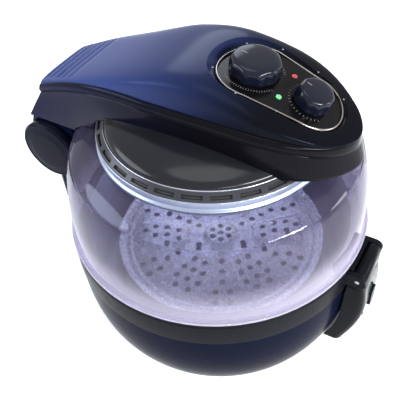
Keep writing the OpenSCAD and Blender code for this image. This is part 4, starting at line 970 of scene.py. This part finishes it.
# Control panel: a glossy black plate, bent along its length, in a round satin metal trim,
# with a fine printed scale round each knob. The lamps stand in it between the knobs.
panel_black = finish("panel black", (0.004, 0.004, 0.005), (0.002, 0.002, 0.003), 0.16, scuffs=0.1,
                     scale=30.0, Specular_IOR_Level=0.12)
carry(["panel_plate"], panel_black)
trim_metal = finish("satin trim", (0.36, 0.33, 0.30), (0.24, 0.22, 0.20), 0.20, scuffs=0.15, scale=40.0,
                    Metallic=1.0)
trim_profile = ((0.05, -6.5), (0.05, 1.1), (0.22, 1.7), (0.55, 2.1), (0.96, 2.2), (1.38, 2.1), (1.7, 1.7),
                (1.87, 1.1), (1.87, -6.5))
trim_points = [on_bend(x, y, z) for grow, z in trim_profile for x, y in egg(grow)]
trim_faces = bands(len(trim_profile), len(egg(0)), ring=True)
piece("trim_ring", trim_points, trim_faces, trim_metal, "lid", ["panel_trim"], "trim_metal", 40)
knob_at, timer_scale_r, thermostat_scale_r = 28.5, 27.2, 20.6
faint_print = finish("faint print", (0.20, 0.19, 0.18), (0.12, 0.12, 0.11), 0.5, scale=80.0)
places = []
for s, r, first, last, marks in ((knob_at, timer_scale_r, 120, 420, 61),
                                 (-knob_at, thermostat_scale_r, 135, 405, 28)):
    for k in range(marks):
        a = math.radians(first + (last - first) * k / (marks - 1) + 180)
        x, y = polar(r, a)
        place = by_knob(s, x, y, 0.05 - y ** 2 / (2 * bend_r))
        lean = Matrix.Rotation(tilt - s / bend_r, 3, "X")
        places.append((place, tuple((lean @ Matrix.Rotation(a - math.pi / 2, 3, "Z")).to_euler())))
ticks = scatter("panel_ticks", places, slot_maker, {"Length": 0.0018, "Width": 0.0004, "Depth": 0.0001})
dress(ticks, faint_print, "lid", ())

# Knobs: glossy dark mouldings, pushed on their shafts. Each has ten broad flutes, a wide
# shoulder and a slightly raised top with a short grey pointer line let into it.
knob_gloss = finish("knob gloss", (0.006, 0.008, 0.018), (0.004, 0.005, 0.011), 0.12, scale=30.0,
                    bump=0.01, Specular_IOR_Level=0.22)
knob_turns, flutes, flute_bite, knob_foot = 240, 10, 0.055, 0.8


def knob_profile(h):
    """Rows from the foot up: height, share of the radius, and share of the flutes' depth."""
    return (
        (knob_foot, 0.985, 0.9), (1.3, 1.0, 1), (h * 0.3, 1.0, 1), (h * 0.48, 0.997, 1),
        (h * 0.62, 0.985, 0.9), (h * 0.74, 0.962, 0.75), (h * 0.84, 0.928, 0.5),
        (h * 0.92, 0.882, 0.28), (h * 0.97, 0.83, 0.12), (h + 0.1, 0.76, 0.04),
        (h + 0.38, 0.66, 0), (h + 0.58, 0.5, 0), (h + 0.7, 0.34, 0), (h + 0.77, 0.17, 0),
    )


def knob(name, s, r, h, body, node_name):
    """A fluted knob with its foot a little over the panel, and its pointer."""
    points = []
    for z, scale, depth in knob_profile(h):
        for k in range(knob_turns):
            a = 2 * math.pi * k / knob_turns
            bite = flute_bite * depth * (0.5 - 0.5 * math.cos(flutes * a)) ** 0.8
            reach = r * scale * (1 - bite)
            points.append(by_knob(s, *polar(reach, a), z))
    count = len(points)
    rows = count // knob_turns
    points += [by_knob(s, 0, 0, h + 0.8), by_knob(s, 0, 0, knob_foot)]
    faces = bands(rows, knob_turns)
    for j in range(knob_turns):
        n = (j + 1) % knob_turns
        faces += [[count - knob_turns + j, count - knob_turns + n, count], [n, j, count + 1]]
    piece(name, points, faces, knob_gloss, body, [node_name], "knob_gloss", 40)
    line = [(-0.45, 0.40 * r), (0.45, 0.40 * r), (0.45, 0.66 * r), (-0.45, 0.66 * r)]
    low, high = ([by_knob(s, x, y, z) for x, y in line] for z in (h + 0.2, h + 0.66))
    piece(name + "_pointer", *prism(low, high), faint_print, body, (), "knob_gloss")


knob("timer_grip", knob_at, 24.0, 15.0, "timer", "timer_knob")
knob("thermostat_grip", -knob_at, 17.5, 15.0, "thermostat", "thermostat_knob")
carry(["timer_unit", "thermostat_unit", "thermal_cutout"], black_matt)

# Indicator lamps: small domed lenses of coloured plastic, green and red, pushed into the
# panel from behind.
carry(["green_lamp"], finish("green lens", (0.16, 0.62, 0.24), (0.10, 0.50, 0.18), 0.18, Coat_Weight=0.6))
carry(["red_lamp"], finish("red lens", (0.50, 0.04, 0.05), (0.40, 0.03, 0.04), 0.18, Coat_Weight=0.6))

# Handle: a folding grip of black plastic that hangs from two ears on the hoop. It bulges
# outwards, and a lighter face with a push button and three small studs is set in its front.
grip_low, grip_high, grip_half, grip_corner = 12.0, 117.5, 29.0, 8.0
pivot_y, pivot_z, knuckle_r, pin_r = -174.5, 127.0, 8.5, 2.75
button_low, button_high, button_r = 72, 88, 7.3
face_low, face_high, face_half, face_corner = 24, 110, 21.0, 8


def grip_front(z):
    """The grip's front at a height: it leans out to a bulge above its middle."""
    t = (z - grip_low) / (grip_high - grip_low)
    return -168 - 20 * math.sin(math.radians(128 * t)) ** 1.1 * (1 - 0.18 * t)


def grip_section(z, inset):
    """The grip seen from above: round front corners, and a back that follows the bowl."""
    w, corner = grip_half - inset, grip_corner
    front = grip_front(min(max(z, grip_low), grip_high)) + inset
    clear_r = (rim_r if z > band_z - 3 else base_radius(z)) + 2.5 + inset
    back = [(x, min(-math.sqrt(clear_r ** 2 - x ** 2), -130.0 - inset)) for x in np.linspace(w, -w, 17)]
    left = arc(-w + corner, front + corner, corner, 180, 270, 8)
    right = arc(w - corner, front + corner, corner, 270, 360, 8)
    return [(float(x), float(y), z) for x, y in back + left + right]


handle_black = finish("handle gloss", (0.007, 0.008, 0.010), (0.003, 0.004, 0.005), 0.18, scuffs=0.12,
                      scale=25.0, Specular_IOR_Level=0.04)
handle_face = finish("handle face", (0.060, 0.066, 0.058), (0.042, 0.047, 0.042), 0.22, scuffs=0.12,
                     scale=30.0, Specular_IOR_Level=0.4)
levels = [(0.02, 1.6), (0.5, 0.8), (1.4, 0.2), (2.4, 0.0)]
levels += [(float(v), 0.0) for v in np.linspace(6, 100, 34)]
levels += [(103.1, 0.0), (104.1, 0.2), (105.0, 0.8), (105.48, 1.6)]
grip = piece("grip", *loft([grip_section(grip_low + v, inset) for v, inset in levels]), handle_black, None)
knuckle_line = arc(pivot_y, pivot_z, knuckle_r - 0.02, 0, 180, 24)
knuckle_line += [(pivot_y - knuckle_r + 0.02, 114.0), (-170.0, 114.0)]
knuckle = [[(x, pivot_y + (y - pivot_y) * k, pivot_z + (z - pivot_z) * k) for y, z in knuckle_line]
           for x, k in ((-22.48, 0.95), (-21.8, 1.0), (21.8, 1.0), (22.48, 0.95))]
carve(grip, "knuckle", loft(knuckle), "UNION")
pin_way = [[(x, y, z) for y, z in arc(pivot_y, pivot_z, pin_r, 0, 348.75, 31)] for x in (-40, 40)]
carve(grip, "pin_way", prism(*pin_way))
oblong = arc(0, button_high, button_r, 0, 180, 16) + arc(0, button_low, button_r, 180, 360, 16)
button_way = prism([(x, -205.0, z) for x, z in oblong], [(x, -177.0, z) for x, z in oblong])
carve(grip, "button_way", button_way)
dress(grip, handle_black, "handle", ["handle"], 34)
face_rows = []
for z in np.linspace(face_low, face_high, 60):
    end = max(0.0, face_corner - min(z - face_low, face_high - z))
    w, y = face_half - face_corner + math.sqrt(face_corner ** 2 - end ** 2), grip_front(z)
    face_rows.append([(-w, y + 0.4, z), (-w + 0.7, y - 0.4, z), (w - 0.7, y - 0.4, z), (w, y + 0.4, z)])
places = [((x, grip_front(z) - 0.5, z), (math.pi / 2, 0, 0)) for x, z in ((0, 99), (-14, 60), (14, 60))]
studs = scatter("grip_studs", places, disc_maker(20), {"Radius": 0.0016, "Depth": 0.0022})
dress(studs, charcoal, "handle", ())
plate = piece("grip_face", *loft(face_rows), handle_face, None)
carve(plate, "button_way", button_way)
dress(plate, handle_face, "handle", (), 34)
carry(["handle_bracket"], charcoal)
carry(["handle_button"], cap_black)

# Studio: a pale floor, a white surround and six soft lamps, the strongest behind and in
# front. The surround looks white to the camera and in glossy or clear surfaces, and lights
# the oven at half that strength.
floor_mesh = bpy.data.meshes.new("floor")
floor_mesh.from_pydata([(-4, -4, 0), (4, -4, 0), (4, 4, 0), (-4, 4, 0)], [], [(0, 1, 2, 3)])
floor = bpy.data.objects.new("floor", floor_mesh)
bpy.context.collection.objects.link(floor)
floor_paint = bpy.data.materials.new("floor paint")
floor_paint.use_nodes = True
fill(floor_paint.node_tree, floor_paint.node_tree.nodes["Principled BSDF"], {
    "Base Color": (0.90, 0.90, 0.91, 1), "Roughness": 0.8, "Specular IOR Level": 0.1,
    "Emission Color": (1, 1, 1, 1), "Emission Strength": 0.42,
})
floor_mesh.materials.append(floor_paint)

world = bpy.data.worlds.new("studio")
bpy.context.scene.world = world
world.use_nodes = True
tree = world.node_tree
sky = tree.nodes["Background"]
fill(tree, sky, {"Color": (0.90, 0.93, 1.0, 1), "Strength": 0.5})
seen = node(tree, "Background", Color=(1, 1, 1, 1), Strength=1.0)
rays = node(tree, "LightPath").outputs
direct = node(tree, "Math", rays["Is Camera Ray"], rays["Is Glossy Ray"], operation="MAXIMUM")
bright = node(tree, "Math", direct.outputs[0], rays["Is Transmission Ray"], operation="MAXIMUM")
pick = node(tree, "MixShader", bright.outputs[0], sky.outputs[0], seen.outputs[0])
put(tree, tree.nodes["World Output"].inputs[0], pick.outputs[0])


def soft_lamp(name, place, aim, size, power, colour=(1, 1, 1)):
    """An oval lamp turned to its aim, in metres and watts."""
    lamp = bpy.data.lights.new(name, "AREA")
    lamp.shape = "ELLIPSE"
    lamp.size, lamp.size_y = size
    lamp.energy = power
    lamp.color = colour
    made = bpy.data.objects.new(name, lamp)
    bpy.context.collection.objects.link(made)
    made.location = place
    made.rotation_euler = (Vector(aim) - Vector(place)).to_track_quat("-Z", "Y").to_euler()


soft_lamp("rear_left", (-0.9, 1.6, 1.3), (0, 0.1, 0.25), (1.6, 1.0), 26, (0.78, 0.86, 1.0))
soft_lamp("rear_right", (1.3, 0.9, 1.2), (0, 0, 0.25), (1.0, 1.0), 10, (0.78, 0.86, 1.0))
soft_lamp("front", (0.50, -1.25, 0.55), (0, -0.1, 0.3), (0.6, 0.22), 5)
soft_lamp("front_strip", (-0.42, -1.22, 0.88), (0, -0.1, 0.3), (0.9, 0.18), 28)
soft_lamp("low_left", (-1.1, -0.95, 0.62), (0, -0.05, 0.3), (0.5, 0.08), 4)
soft_lamp("top", (0.0, 0.2, 2.2), (0, 0, 0.2), (1.2, 1.2), 9)
